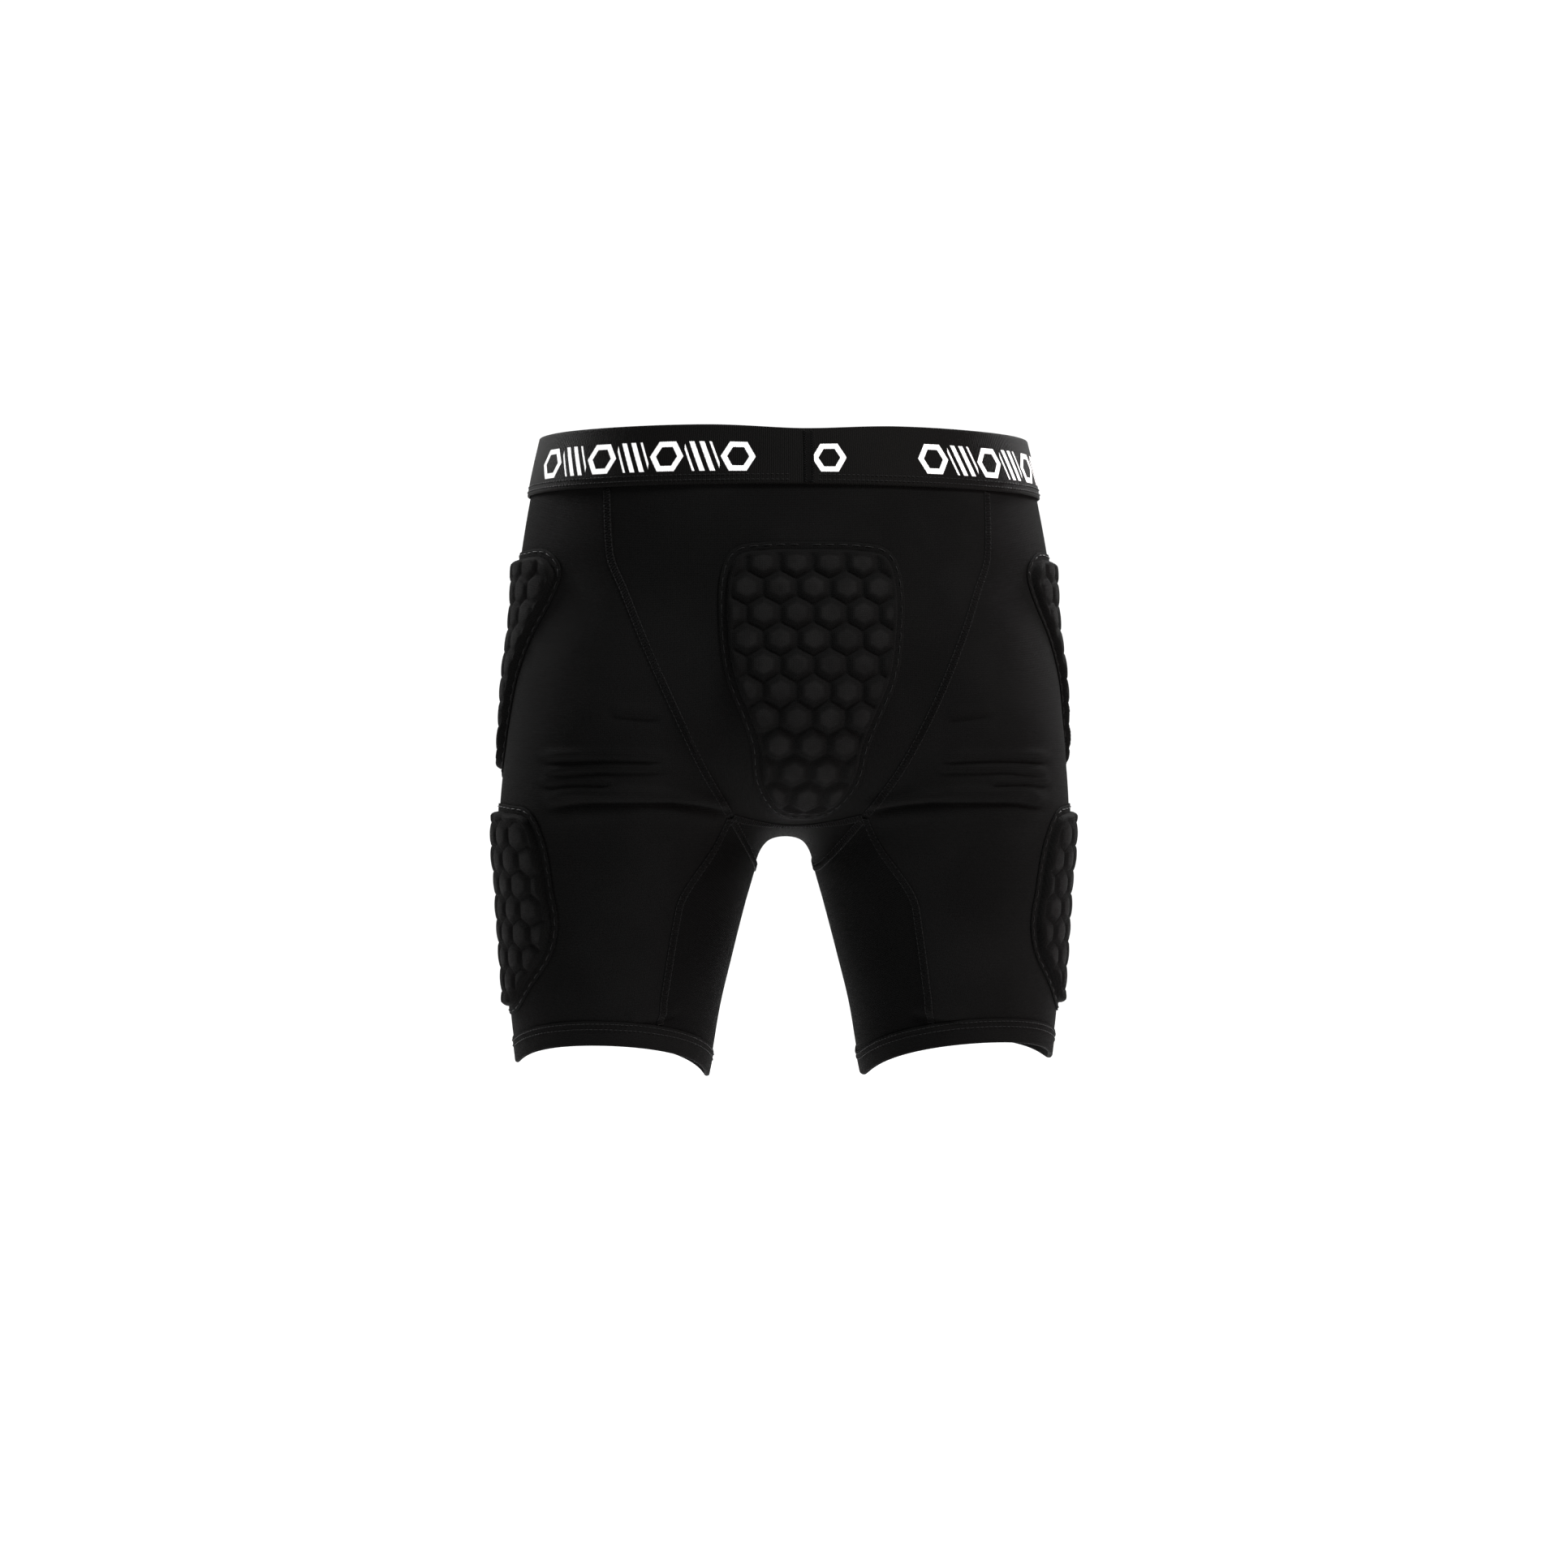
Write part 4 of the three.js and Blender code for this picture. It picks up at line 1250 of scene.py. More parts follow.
# ---------------------------------------------------------------- sewing
@dataclass(frozen=True)
class Sewing:
    """Lays flat seams and stitches on the shorts, in millimetres."""

    shop: Workshop
    layers: Layers
    width: float = 5.0
    thickness: float = 0.45
    thread: float = 0.2
    spacing: float = 1.6
    columns: int = 6
    crown: float = 0.25
    zigzag: float = 1.9
    zigzag_margin: float = 1.2
    edge_row: float = 0.42
    dash: float = 2.6
    dash_pitch: float = 3.5
    cover_dash: float = 2.4
    cover_pitch: float = 3.1
    cover_thread: float = 0.24

    def ribbon(self, line: np.ndarray, width: float, columns: int) -> np.ndarray:
        """Body points of a band that follows a line.

        Args:
            line: Points on the body, in order.
            width: How wide the band is.
            columns: How many strips it is split into across.

        Returns:
            One row for each point of the line, with columns to the right.
        """
        way = np.gradient(line, axis=0)
        across = np.cross(self.layers.body.normals(line), way)
        across = across / np.linalg.norm(across, axis=1, keepdims=True)
        side = np.linspace(-0.5, 0.5, columns + 1)[None, :, None] * width
        return self.layers.body.settle(line[:, None] + side * across[:, None])

    def flatlock(self, name: str, line: np.ndarray, side: Side = Side.RIGHT) -> None:
        """A flat seam: a crowned band, a zigzag over it and a row of stitches along each edge.

        Args:
            name: The CAD node that it replaces.
            line: Points on the body, from the top or the left, for the right side.
            side: The side that it is for.
        """
        line = along_line(line, self.spacing)
        rows = self.ribbon(line, self.width, self.columns)
        side_share = np.linspace(-1, 1, self.columns + 1)[None, :]
        crown = np.sqrt(np.clip(1 - side_share**2, 0, 1))
        strip = self.layers.lift(rows, self.layers.seam_foot + self.crown * (crown - 1))
        run = np.arange(len(line)) * self.spacing
        across = side_share / 2 * self.width + 0 * run[:, None]
        cloth = (across, -run[:, None] + 0 * across)
        band = self.shop.grid(name + "_band", sheet_for(side, strip), cloth)
        self.shop.thicken(band, self.thickness)
        self.shop.finish(band, Slot.SHELL, [name])
        top = self.layers.seam_foot + self.thickness
        lines = [self.zigzag_line(line, self.width - self.zigzag_margin, self.zigzag, top + self.thread / 2)]
        for edge in (-self.edge_row, self.edge_row):
            lines += self.dashes(line, top + 0.4 * self.thread, edge * self.width)
        thread = self.shop.threads(name + "_thread", lines_for(side, lines), self.thread)
        self.shop.finish(thread, Slot.THREAD, [])

    def zigzag_line(self, line: np.ndarray, width: float, pitch: float, height: float) -> np.ndarray:
        """A thread that runs to and fro across a line.

        Args:
            line: Points on the body.
            width: How far it swings from side to side.
            pitch: From one swing to the next.
            height: How high the thread's middle stands over the body.

        Returns:
            The thread's points.
        """
        line = along_line(line, pitch / 2)
        rows = self.ribbon(line, width, 2)
        column = np.where(np.arange(len(line)) % 2 == 0, 0, 2)
        points = rows[np.arange(len(line)), column]
        return self.layers.lift(points, height)

    def dashes(
        self,
        line: np.ndarray,
        height: float,
        offset: float = 0.01,
        dash: Optional[float] = None,
        pitch: Optional[float] = None,
    ) -> list[np.ndarray]:
        """A row of stitches beside a line.

        Args:
            line: Points on the body.
            height: How high the thread's middle stands over the body.
            offset: How far the row lies to the right of the line.
            dash: A stitch's length, if it isn't the usual one.
            pitch: From one stitch to the next, if it isn't the usual one.

        Returns:
            Each stitch's points, with its ends sunk into the cloth.
        """
        dash, pitch = dash or self.dash, pitch or self.dash_pitch
        sink = np.array([-0.5, 0.0, 0.08, 0.0, -0.5])
        step = dash / (len(sink) - 1)
        row = self.ribbon(along_line(line, step), 2 * abs(offset) + 1e-6, 1)[:, 1 if offset > 0 else 0]
        every = max(len(sink), int(round(pitch / step)))
        starts = np.arange(0, len(row) - len(sink), every)
        picked = row[starts[:, None] + np.arange(len(sink))]
        return list(self.layers.lift(picked, height + sink))

    def cover_row(self, line: np.ndarray, height: float) -> list[np.ndarray]:
        """One of the rows of a coverstitch along a line."""
        return self.dashes(line, height, dash=self.cover_dash, pitch=self.cover_pitch)


# ---------------------------------------------------------------- sub-assemblies
@dataclass(frozen=True)
class Shell:
    """The sewn panels of the shorts and the flat seams between them."""

    shop: Workshop
    layers: Layers
    cut: Cut
    sewing: Sewing
    centre_grid: tuple[int, int] = (130, 120)
    gusset_grid: tuple[int, int] = (60, 50)
    thigh_grid: tuple[int, int, int] = (128, 74, 190)
    inner_grid: tuple[int, int] = (80, 90)
    seam_points: int = 40
    gusset_points: int = 34
    gusset_reach: float = 0.96
    centre_reach: float = 0.97
    seam_trim: float = 1.2
    band_overlap: float = 8.0

    def panel(self, name: str, points: np.ndarray, slot: Slot, side: Side = Side.RIGHT) -> None:
        """One panel of cloth, thickened outwards, with its flat size and area logged.

        Args:
            name: The CAD node that it replaces.
            points: Body points, rows from the top, for the right side.
            slot: Its finish.
            side: The side that it is for.
        """
        cloth = run_lengths(points)
        obj = self.shop.grid(name + "_cloth", sheet_for(side, self.layers.lift(points, 0.0)), cloth)
        self.shop.thicken(obj, self.layers.fabric)
        self.shop.finish(obj, slot, [name])
        width, length = float(np.ptp(cloth[0])) * MM, float(np.ptp(cloth[1])) * MM
        down, over = np.diff(points, axis=0)[:, :-1], np.diff(points, axis=1)[:-1]
        area = float(np.linalg.norm(np.cross(down, over), axis=-1).sum()) * MM * MM
        area = min(area, width * length)
        LOG.info("sheet %s: flat %.0f x %.0f mm, %.0f cm2", name, width / MM, length / MM, area * 1e4)

    def panels(self) -> None:
        """Every panel."""
        for face, name in ((Face.BACK, "seat_panel"), (Face.FRONT, "front_panel")):
            points = self.cut.centre_panel(face, *self.centre_grid)
            points = points if face is Face.BACK else points[:, ::-1]
            self.panel(name, points, Slot.SHELL)
        self.panel("crotch_gusset", self.cut.gusset(*self.gusset_grid), Slot.INNER)
        thigh = self.cut.thigh_panel(*self.thigh_grid)
        inner = self.cut.inner_panel(*self.inner_grid)[:, ::-1]
        for side in Side:
            self.panel(f"{side.label}_thigh_panel", thigh, Slot.SHELL, side)
            self.panel(f"{side.label}_inner_thigh_panel", inner, Slot.INNER, side)

    def seams(self) -> None:
        """Every flat seam."""
        cut, body = self.cut, self.layers.body
        drop = cut.join_drop - cut.shell_top
        top = (self.band_overlap + self.seam_trim) / drop
        upper = np.linspace(top, 1 - self.seam_trim / drop, self.seam_points)
        leg = body.outseam - cut.join_drop
        end = 1 - self.seam_trim / 2 / (leg - cut.hem_arch_back - cut.hem_height)
        low = np.linspace(self.seam_trim / leg, end, self.seam_points)
        fore = np.linspace(-self.gusset_reach, self.gusset_reach, self.gusset_points)
        lines = {
            "seat_seam": cut.panel_edge(Face.BACK, upper),
            "front_seam": cut.panel_edge(Face.FRONT, upper),
            "inner_back_seam": cut.on_leg(cut.inner_angle(Face.BACK, low), low),
            "inner_front_seam": cut.on_leg(cut.inner_angle(Face.FRONT, low), low),
            "gusset_seam": cut.on_inner_thigh(fore, 0.0),
        }
        for side in Side:
            for name, line in lines.items():
                self.sewing.flatlock(f"{side.label}_{name}", line, side)
        across = np.linspace(-self.centre_reach, self.centre_reach, self.gusset_points)
        self.sewing.flatlock("seat_gusset_seam", cut.centre_edge(Face.BACK, across))
        self.sewing.flatlock("front_gusset_seam", cut.centre_edge(Face.FRONT, across))


@dataclass(frozen=True)
class Waistband:
    """The elastic, its sewn join at the middle of the back and its coverstitch."""

    shop: Workshop
    layers: Layers
    sewing: Sewing
    height: float = 38.0
    thickness: float = 1.6
    join_width: float = 7.0
    join_turn: float = 0.003
    join_margin: float = 2.0
    dip: float = 3.0
    dip_width: float = 42.0
    swell: float = 0.25
    ripple: float = 0.12
    ripple_length: float = 11.0
    tape: float = 0.3
    tape_rows: float = 0.62
    stitch_rows: tuple[float, float] = (2.6, 5.8)
    columns: int = 520

    def profile(self) -> tuple[np.ndarray, np.ndarray]:
        """The band's section from its top round the outside and back up the inside.

        Returns:
            The drop and the height over the shell at each of its points.
        """
        half = self.thickness / 2
        outside = np.linspace(half, self.height - half, 26)
        turn = np.linspace(0, math.pi, 6)[1:-1]
        over = (outside - half) / (self.height - 2 * half)
        swell = self.swell * np.sin(np.pi * over)
        drop = np.concatenate(
            [outside, self.height - half + half * np.sin(turn), outside[::-1], half - half * np.sin(turn)]
        )
        height = np.concatenate([half + swell, half * np.cos(turn), -half + 0 * swell, -half * np.cos(turn)])
        return np.append(drop, drop[0]), np.append(height, height[0])

    def ring(self) -> None:
        """The elastic itself."""
        drop, height = self.profile()
        turn = np.linspace(0, 1, self.columns + 1)
        around = self.arc(turn)
        edge = self.dip * np.exp(-((np.minimum(around, around[-1] - around) / self.dip_width) ** 2))
        fall = drop[:, None] + edge[None, :] * (1 - drop[:, None] / self.height)
        points = self.layers.body.on_waist(turn[None, :] + 0 * fall, fall)
        ripple = self.ripple * np.sin(around / self.ripple_length)[None, :]
        mid = self.layers.band_foot + self.thickness / 2
        lifted = self.layers.lift(points, mid + height[:, None] + ripple)
        up = -np.concatenate([[0], np.cumsum(np.hypot(np.diff(drop), np.diff(height)))])
        cloth = (around[None, :] + 0 * fall, up[:, None] - self.thickness / 2 + 0 * fall)
        obj = self.shop.grid("waistband_elastic", lifted, cloth, closed=True)
        self.shop.finish(obj, Slot.ELASTIC, ["waistband"])

    def arc(self, turn: np.ndarray) -> np.ndarray:
        """How far round the band's outside turns lie.

        Args:
            turn: Turns from 0 to 1 from the middle of the back.

        Returns:
            Millimetres from the middle of the back.
        """
        line = self.layers.lift(self.layers.body.on_waist(turn, self.height / 2), self.thickness)
        steps = np.linalg.norm(np.diff(line, axis=0), axis=1)
        return np.concatenate([[0.0], np.cumsum(steps)])

    def join(self) -> None:
        """The tape over the elastic's two ends, with two rows of zigzag."""
        top = self.layers.band_foot + self.thickness
        drop = np.linspace(self.join_margin + self.dip, self.height - self.join_margin / 2, 24)
        line = self.layers.body.on_waist(self.join_turn + 0 * drop, drop)
        rows = self.sewing.ribbon(line, self.join_width, 10)
        edge = np.sqrt(np.clip(1 - np.linspace(-1, 1, 11) ** 6, 0, 1))[None, :]
        tape = self.layers.lift(rows, top - 0.1 + 0.2 * edge)
        cloth = run_lengths(rows)
        obj = self.shop.grid("waistband_join_tape", tape, cloth)
        self.shop.thicken(obj, self.tape)
        self.shop.finish(obj, Slot.SHELL, ["waistband_join"])
        lines = []
        for side in (-1, 1):
            row = self.sewing.ribbon(line, self.tape_rows * self.join_width, 1)[:, (side + 1) // 2]
            lines.append(self.sewing.zigzag_line(row, 1.6, 1.5, top + 0.55))
        thread = self.shop.threads("waistband_join_thread", lines, self.sewing.thread)
        self.shop.finish(thread, Slot.THREAD, [])

    def coverstitch(self) -> None:
        """Two rows of stitches along the band's lower edge."""
        top = self.layers.band_foot + self.thickness
        turn = np.linspace(0.008, 0.992, 400)
        lines = []
        for above in self.stitch_rows:
            line = self.layers.body.on_waist(turn, self.height - above + 0 * turn)
            lines += self.sewing.cover_row(line, top + 0.32)
        thread = self.shop.threads("waistband_coverstitch", lines, self.sewing.cover_thread)
        self.shop.finish(thread, Slot.THREAD, ["waistband_stitch"])


@dataclass(frozen=True)
class Hem:
    """The folded band round a leg's end and its twin-needle stitch."""

    shop: Workshop
    layers: Layers
    cut: Cut
    sewing: Sewing
    fabric: float = 0.8
    clearance: float = 0.15
    inside: float = -0.3
    stitch_rows: tuple[float, float] = (1.6, 5.0)
    columns: int = 230

    def profile(self) -> tuple[np.ndarray, np.ndarray]:
        """The fold's section: down the outside, round the edge, up the inside, and back within.

        Returns:
            The rise over the hem and the height over the body at each of its points.
        """
        out, into = self.layers.fabric + self.clearance, self.inside
        middle, inner = (out + into) / 2, (out - into) / 2
        outer = inner + self.fabric
        turn = np.linspace(0, math.pi, 9)
        straight = np.linspace(self.cut.hem_height, 0, 8)
        down, back = np.sin(turn[1:-1]), straight[::-1]
        rise = [straight, -outer * down, back, straight, -inner * down, back]
        height = [
            middle + outer + 0 * straight,
            middle + outer * np.cos(turn[1:-1]),
            middle - outer + 0 * straight,
            middle - inner + 0 * straight,
            middle - inner * np.cos(turn[1:-1]),
            middle + inner + 0 * straight,
        ]
        rise, height = np.concatenate(rise), np.concatenate(height)
        return np.append(rise, rise[0]), np.append(height, height[0])

    def build(self) -> None:
        """Both hems."""
        rise, height = self.profile()
        angle = np.linspace(-180, 180, self.columns + 1)
        drop = self.cut.hem_drop(angle)[None, :] - rise[:, None]
        points = self.layers.body.on_thigh(angle[None, :] + 0 * drop, drop)
        lifted = self.layers.lift(points, height[:, None])
        around, _ = run_lengths(points)
        up = -np.concatenate([[0], np.cumsum(np.hypot(np.diff(rise), np.diff(height)))])
        cloth = (around, up[:, None] + 0 * around)
        top = self.layers.fabric + self.clearance + self.fabric
        rows = []
        for below in self.stitch_rows:
            line = self.layers.body.on_thigh(angle, self.cut.hem_drop(angle) - self.cut.hem_height + below)
            rows += self.sewing.cover_row(line, top + 0.25)
        for side in Side:
            band = sheet_for(side, lifted)
            obj = self.shop.grid(f"{side.label}_hem_band_fold", band, cloth, closed=True)
            self.shop.finish(obj, Slot.SHELL, [f"{side.label}_hem_band"])
            lines = lines_for(side, rows)
            thread = self.shop.threads(f"{side.label}_hem_twin_stitch", lines, self.sewing.cover_thread)
            self.shop.finish(thread, Slot.THREAD, [f"{side.label}_hem_stitch"])


# ---------------------------------------------------------------- pads
def closed_curve(points: Sequence[tuple[float, float]], spacing: float) -> np.ndarray:
    """A smooth closed curve through points.

    Args:
        points: Its points, in order.
        spacing: About how far apart the result's points are.

    Returns:
        Evenly spaced points, the first one again at the end.
    """
    p = np.array(points, float)
    before, after, later = np.roll(p, 1, axis=0), np.roll(p, -1, axis=0), np.roll(p, -2, axis=0)
    first, middle, last = (
        np.sqrt(np.linalg.norm(b - a, axis=1))[:, None] for a, b in ((before, p), (p, after), (after, later))
    )
    leave = ((p - before) / first - (after - before) / (first + middle) + (after - p) / middle) * middle
    arrive = ((after - p) / middle - (later - p) / (middle + last) + (later - after) / last) * middle
    t = np.linspace(0, 1, 20, endpoint=False)[None, :, None]
    curve = (
        (2 * t**3 - 3 * t**2 + 1) * p[:, None]
        + (t**3 - 2 * t**2 + t) * leave[:, None]
        + (3 * t**2 - 2 * t**3) * after[:, None]
        + (t**3 - t**2) * arrive[:, None]
    ).reshape(-1, 2)
    return along_line(np.concatenate([curve, curve[:1]]), spacing)


@dataclass(frozen=True)
class Cells:
    """Rows of six-sided foam cells, pointed end up."""

    first: tuple[float, float]
    pitch: float = 20.0
    squash: float = 0.9
    groove: float = 3.6
    depth: float = 1.7
    crown: float = 1.15

    @property
    def row(self) -> float:
        """From one row's middle to the next."""
        return self.squash * self.pitch * math.sqrt(3) / 2

    def from_middle(self, s: np.ndarray, t: np.ndarray) -> np.ndarray:
        """How far points lie from their cell's middle.

        Args:
            s: Across the pad.
            t: Up the pad.

        Returns:
            The distances across and up, without their signs.
        """
        x = s - self.first[0]
        y = (t - self.first[1]) / self.squash
        height = math.sqrt(3) * self.pitch
        even = np.stack([x - self.pitch * np.rint(x / self.pitch), y - height * np.rint(y / height)])
        x, y = x - self.pitch / 2, y - height / 2
        odd = np.stack([x - self.pitch * np.rint(x / self.pitch), y - height * np.rint(y / height)])
        return np.abs(np.where((even**2).sum(0) < (odd**2).sum(0), even, odd))

    def to_border(self, s: np.ndarray, t: np.ndarray) -> np.ndarray:
        """How far points lie inside their cell's border."""
        near = self.from_middle(s, t)
        return self.pitch / 2 - np.maximum(near[0], near[0] / 2 + near[1] * math.sqrt(3) / 2)

    def relief(self, s: np.ndarray, t: np.ndarray) -> np.ndarray:
        """How far the cover dips below the pad's top.

        Args:
            s: Across the pad.
            t: Up the pad.

        Returns:
            Millimetres.
        """
        across, up = self.from_middle(s, t) / (self.pitch / 2)
        dome = self.crown * (across**2 + up**2)
        return dome + self.depth * (1 - smooth_step(self.to_border(s, t), 0.0, self.groove))

    def middles(self, reach: float) -> np.ndarray:
        """The cells' middles.

        Args:
            reach: How far up and down from the first cell the rows go.

        Returns:
            Points across and up.
        """
        count = int(reach / self.row)
        return np.array(
            [
                (self.first[0] + (column + (row % 2) / 2) * self.pitch, self.first[1] + row * self.row)
                for row in range(-count, count + 1)
                for column in range(-count, count + 1)
            ]
        )


@dataclass(frozen=True)
class Pad:
    """One impact pad: foam cells under a fabric cover with a sewn-down rim."""

    name: str
    outline: tuple[tuple[float, float], ...]
    place: Place
    cells: Cells
    shop: Workshop
    layers: Layers
    height: float = 6.6
    fabric: float = 0.9
    rim: float = 6.5
    wall: float = 2.2
    step: float = 1.1
    foam_step: float = 4.0
    drape_scale: float = 0.02
    drape_start: float = 0.4
    drape_gap: float = 0.3
    drape_groove: float = 1.5
    drape_pull: float = 2.0
    drape_frames: int = 24
    drape_cap: float = 2.5
    crown: float = 0.9
    crown_reach: float = 16.0
    top_drop: float = 0.7
    foam_drop: float = 2.2
    foam_reach: float = 160.0
    foam_margin: float = 2.0
    foam_share: float = 0.95
    foam_bevel: float = 1.6
    foam_web: float = 0.8
    stitch_reach: float = 4.6
    stitch_length: float = 5.5
    stitch_pitch: float = 8.0
    stitch_thread: float = 0.3

    def edge(self) -> np.ndarray:
        """The pad's outline, closed."""
        return closed_curve(self.outline, 1.5)

    def measure(self, points: np.ndarray) -> tuple[np.ndarray, np.ndarray]:
        """How far flat points lie inside the outline.

        Args:
            points: Points across and up, in millimetres.

        Returns:
            The distances, negative outside, and the outward directions of the nearest edge.
        """
        line = self.edge()
        start, way = line[:-1], np.diff(line, axis=0)
        share = ((points[:, None] - start) * way).sum(-1) / (way * way).sum(-1)
        gap = points[:, None] - (start + np.clip(share, 0, 1)[..., None] * way)
        away = np.linalg.norm(gap, axis=-1)
        best = away.argmin(axis=1)
        x, y = points[:, 0][:, None], points[:, 1][:, None]
        above = (start[:, 1] > y) != (start[:, 1] + way[:, 1] > y)
        rise = np.where(way[:, 1] == 0, 1e-9, way[:, 1])
        hits = above & (x < start[:, 0] + way[:, 0] * (y - start[:, 1]) / rise)
        inside = hits.sum(axis=1) % 2 == 1
        turning = np.sign((start[:, 0] * way[:, 1] - start[:, 1] * way[:, 0]).sum())
        outward = np.stack([way[:, 1], -way[:, 0]], axis=1) * turning
        outward = (outward / np.linalg.norm(outward, axis=1, keepdims=True))[best]
        distance = away[np.arange(len(points)), best]
        return np.where(inside, distance, -distance), outward

    def blank(self, step: float, rim: float) -> tuple[bmesh.types.BMesh, np.ndarray]:
        """A flat net of squares cut to the pad's outline.

        Args:
            step: The squares' size.
            rim: How far the net reaches past the outline.

        Returns:
            The net and its points, across and up, in millimetres.
        """
        line = self.edge()
        low, high = line.min(0) - rim - step, line.max(0) + rim + step
        count = np.ceil((high - low) / step).astype(int)
        net = bmesh.new()
        bmesh.ops.create_grid(net, x_segments=int(count[0]), y_segments=int(count[1]), size=0.5)
        middle, span = (low + high) / 2, high - low
        bmesh.ops.scale(net, vec=(span[0], span[1], 1.0), verts=net.verts)
        bmesh.ops.translate(net, vec=(middle[0], middle[1], 0.0), verts=net.verts)
        centres = np.array([f.calc_center_median()[:2] for f in net.faces])
        inside, _ = self.measure(centres)
        faces = [f for f, deep in zip(net.faces, inside) if deep < -rim]
        bmesh.ops.delete(net, geom=faces, context="FACES")
        points = np.array([v.co[:2] for v in net.verts])
        edge = np.array([v.is_boundary for v in net.verts])
        deep, outward = self.measure(points)
        points[edge] += outward[edge] * (deep[edge] + rim)[:, None]
        return net, points

    def cover_shape(
        self, points: np.ndarray, deeper: float = 1.0
    ) -> tuple[np.ndarray, np.ndarray, np.ndarray]:
        """Raises a flat net into the cover's form.

        Args:
            points: The net's points, across and up.
            deeper: How many times as deep the grooves between the cells are.

        Returns:
            The points moved to the wall, the height of the cover's underside over its foot, and how
            much each point belongs to a cell's top.
        """
        foot, shoulder, level = 0.5, 3.5, 14.0
        deep, outward = self.measure(points)
        turn = np.clip((deep + foot) / (foot + shoulder), 0, 1) * math.pi / 2
        target = -foot + self.wall * (1 - np.cos(turn))
        beyond = deep - (shoulder - (self.wall - foot)) * (1 - smooth_step(deep, shoulder, level))
        target = np.where(deep < -foot, deep, np.where(deep > shoulder, beyond, target))
        moved = points + outward * (deep - target)[:, None]
        full = self.height - self.fabric - self.top_drop
        crown = self.crown * (1 - np.exp(-np.maximum(deep, 0) / self.crown_reach))
        dip = deeper * self.cells.relief(moved[:, 0], moved[:, 1]) * smooth_step(deep, 0.5, 4.5)
        height = np.sin(turn) * (full + crown) - dip
        top = smooth_step(self.cells.to_border(moved[:, 0], moved[:, 1]), 2.0, 8.0) * smooth_step(deep, 3, 6)
        return moved, np.maximum(height, 0.0), top

    def drape(
        self, net: bmesh.types.BMesh, points: np.ndarray, flat: np.ndarray, height: np.ndarray
    ) -> tuple[np.ndarray, np.ndarray]:
        """Lets the cover's cloth sink on to the foam cells by simulation, laid flat and enlarged.

        Args:
            net: The cover's net.
            points: The net's points before they were raised, across and up.
            flat: The points moved to the wall.
            height: Their heights.

        Returns:
            The points and heights after the cloth came to rest.
        """
        size = self.drape_scale
        deep, _ = self.measure(points)
        free = smooth_step(deep, 3.0, 6.0)
        slack = np.concatenate([flat, (height + free * self.drape_start)[:, None]], axis=1)
        mesh = bpy.data.meshes.new("cover_cloth")
        net.to_mesh(mesh)
        mesh.vertices.foreach_set("co", (slack * size).astype(np.float32).ravel())
        cloth = self.shop.link("cover_cloth", mesh)
        held = cloth.vertex_groups.new(name="sewn")
        held.add([int(i) for i in np.flatnonzero(free <= 0)], 1.0, "REPLACE")
        bed_net, bed_points = self.blank(1.5, 0.0)
        bed_flat, bed_height, _ = self.cover_shape(bed_points, self.drape_groove)
        bed = bpy.data.meshes.new("foam_bed")
        bed_net.to_mesh(bed)
        bed_net.free()
        co = np.concatenate([bed_flat, bed_height[:, None] - self.drape_gap], axis=1) * size
        bed.vertices.foreach_set("co", co.astype(np.float32).ravel())
        foam = self.shop.link("foam_bed", bed)
        foam.modifiers.new("Collision", "COLLISION")
        foam.collision.thickness_outer = 0.004
        foam.collision.cloth_friction = 15.0
        sim = cloth.modifiers.new("Cloth", "CLOTH")
        sim.settings.quality = 5
        sim.settings.mass = 0.35
        sim.settings.tension_stiffness = 12.0
        sim.settings.compression_stiffness = 12.0
        sim.settings.shear_stiffness = 4.0
        sim.settings.bending_stiffness = 0.4
        sim.settings.air_damping = 3.0
        sim.settings.vertex_group_mass = "sewn"
        sim.settings.effector_weights.gravity = self.drape_pull
        sim.collision_settings.distance_min = 0.004
        sim.collision_settings.use_self_collision = False
        sim.point_cache.frame_start, sim.point_cache.frame_end = 1, self.drape_frames
        for number in range(1, self.drape_frames + 1):
            bpy.context.scene.frame_set(number)
        shown = cloth.evaluated_get(bpy.context.evaluated_depsgraph_get())
        settled = np.empty(len(mesh.vertices) * 3, np.float32)
        shown.data.vertices.foreach_get("co", settled)
        settled = settled.reshape(-1, 3).astype(float) / size
        for obj in (cloth, foam):
            data = obj.data
            bpy.data.objects.remove(obj)
            bpy.data.meshes.remove(data)
        bpy.context.scene.frame_set(1)
        moved = np.clip(settled[:, :2], flat - self.drape_cap, flat + self.drape_cap)
        sunk = np.clip(settled[:, 2], height - self.drape_cap, height + self.drape_cap)
        moves = sunk - height
        LOG.info("draped %s: lowest %.1f mm, mean %.2f mm", self.name, moves.min(), moves.mean())
        return moved, np.maximum(sunk, 0.0)

    def wrap(
        self, name: str, net: bmesh.types.BMesh, flat: np.ndarray, height: np.ndarray, side: Side
    ) -> bpy.types.Object:
        """Lays a flat net on the body.

        Args:
            name: The piece's name.
            net: The net.
            flat: Where its points lie, across and up, in millimetres.
            height: Their heights over the body.
            side: The side that it is for.

        Returns:
            The object, with across and up in metres as its UV map.
        """
        mesh = bpy.data.meshes.new(name)
        net.to_mesh(mesh)
        placed = self.layers.lift(self.place(flat[:, 0], flat[:, 1]), height)
        if side is Side.LEFT:
            placed = placed * MIRROR
            mesh.flip_normals()
        mesh.vertices.foreach_set("co", (placed * MM).astype(np.float32).ravel())
        corner = np.empty(len(mesh.loops), np.int32)
        mesh.loops.foreach_get("vertex_index", corner)
        uv = (flat[corner] * MM).astype(np.float32)
        mesh.uv_layers.new(name="Cloth").data.foreach_set("uv", uv.ravel())
        mesh.update()
        return self.shop.link(name, mesh)

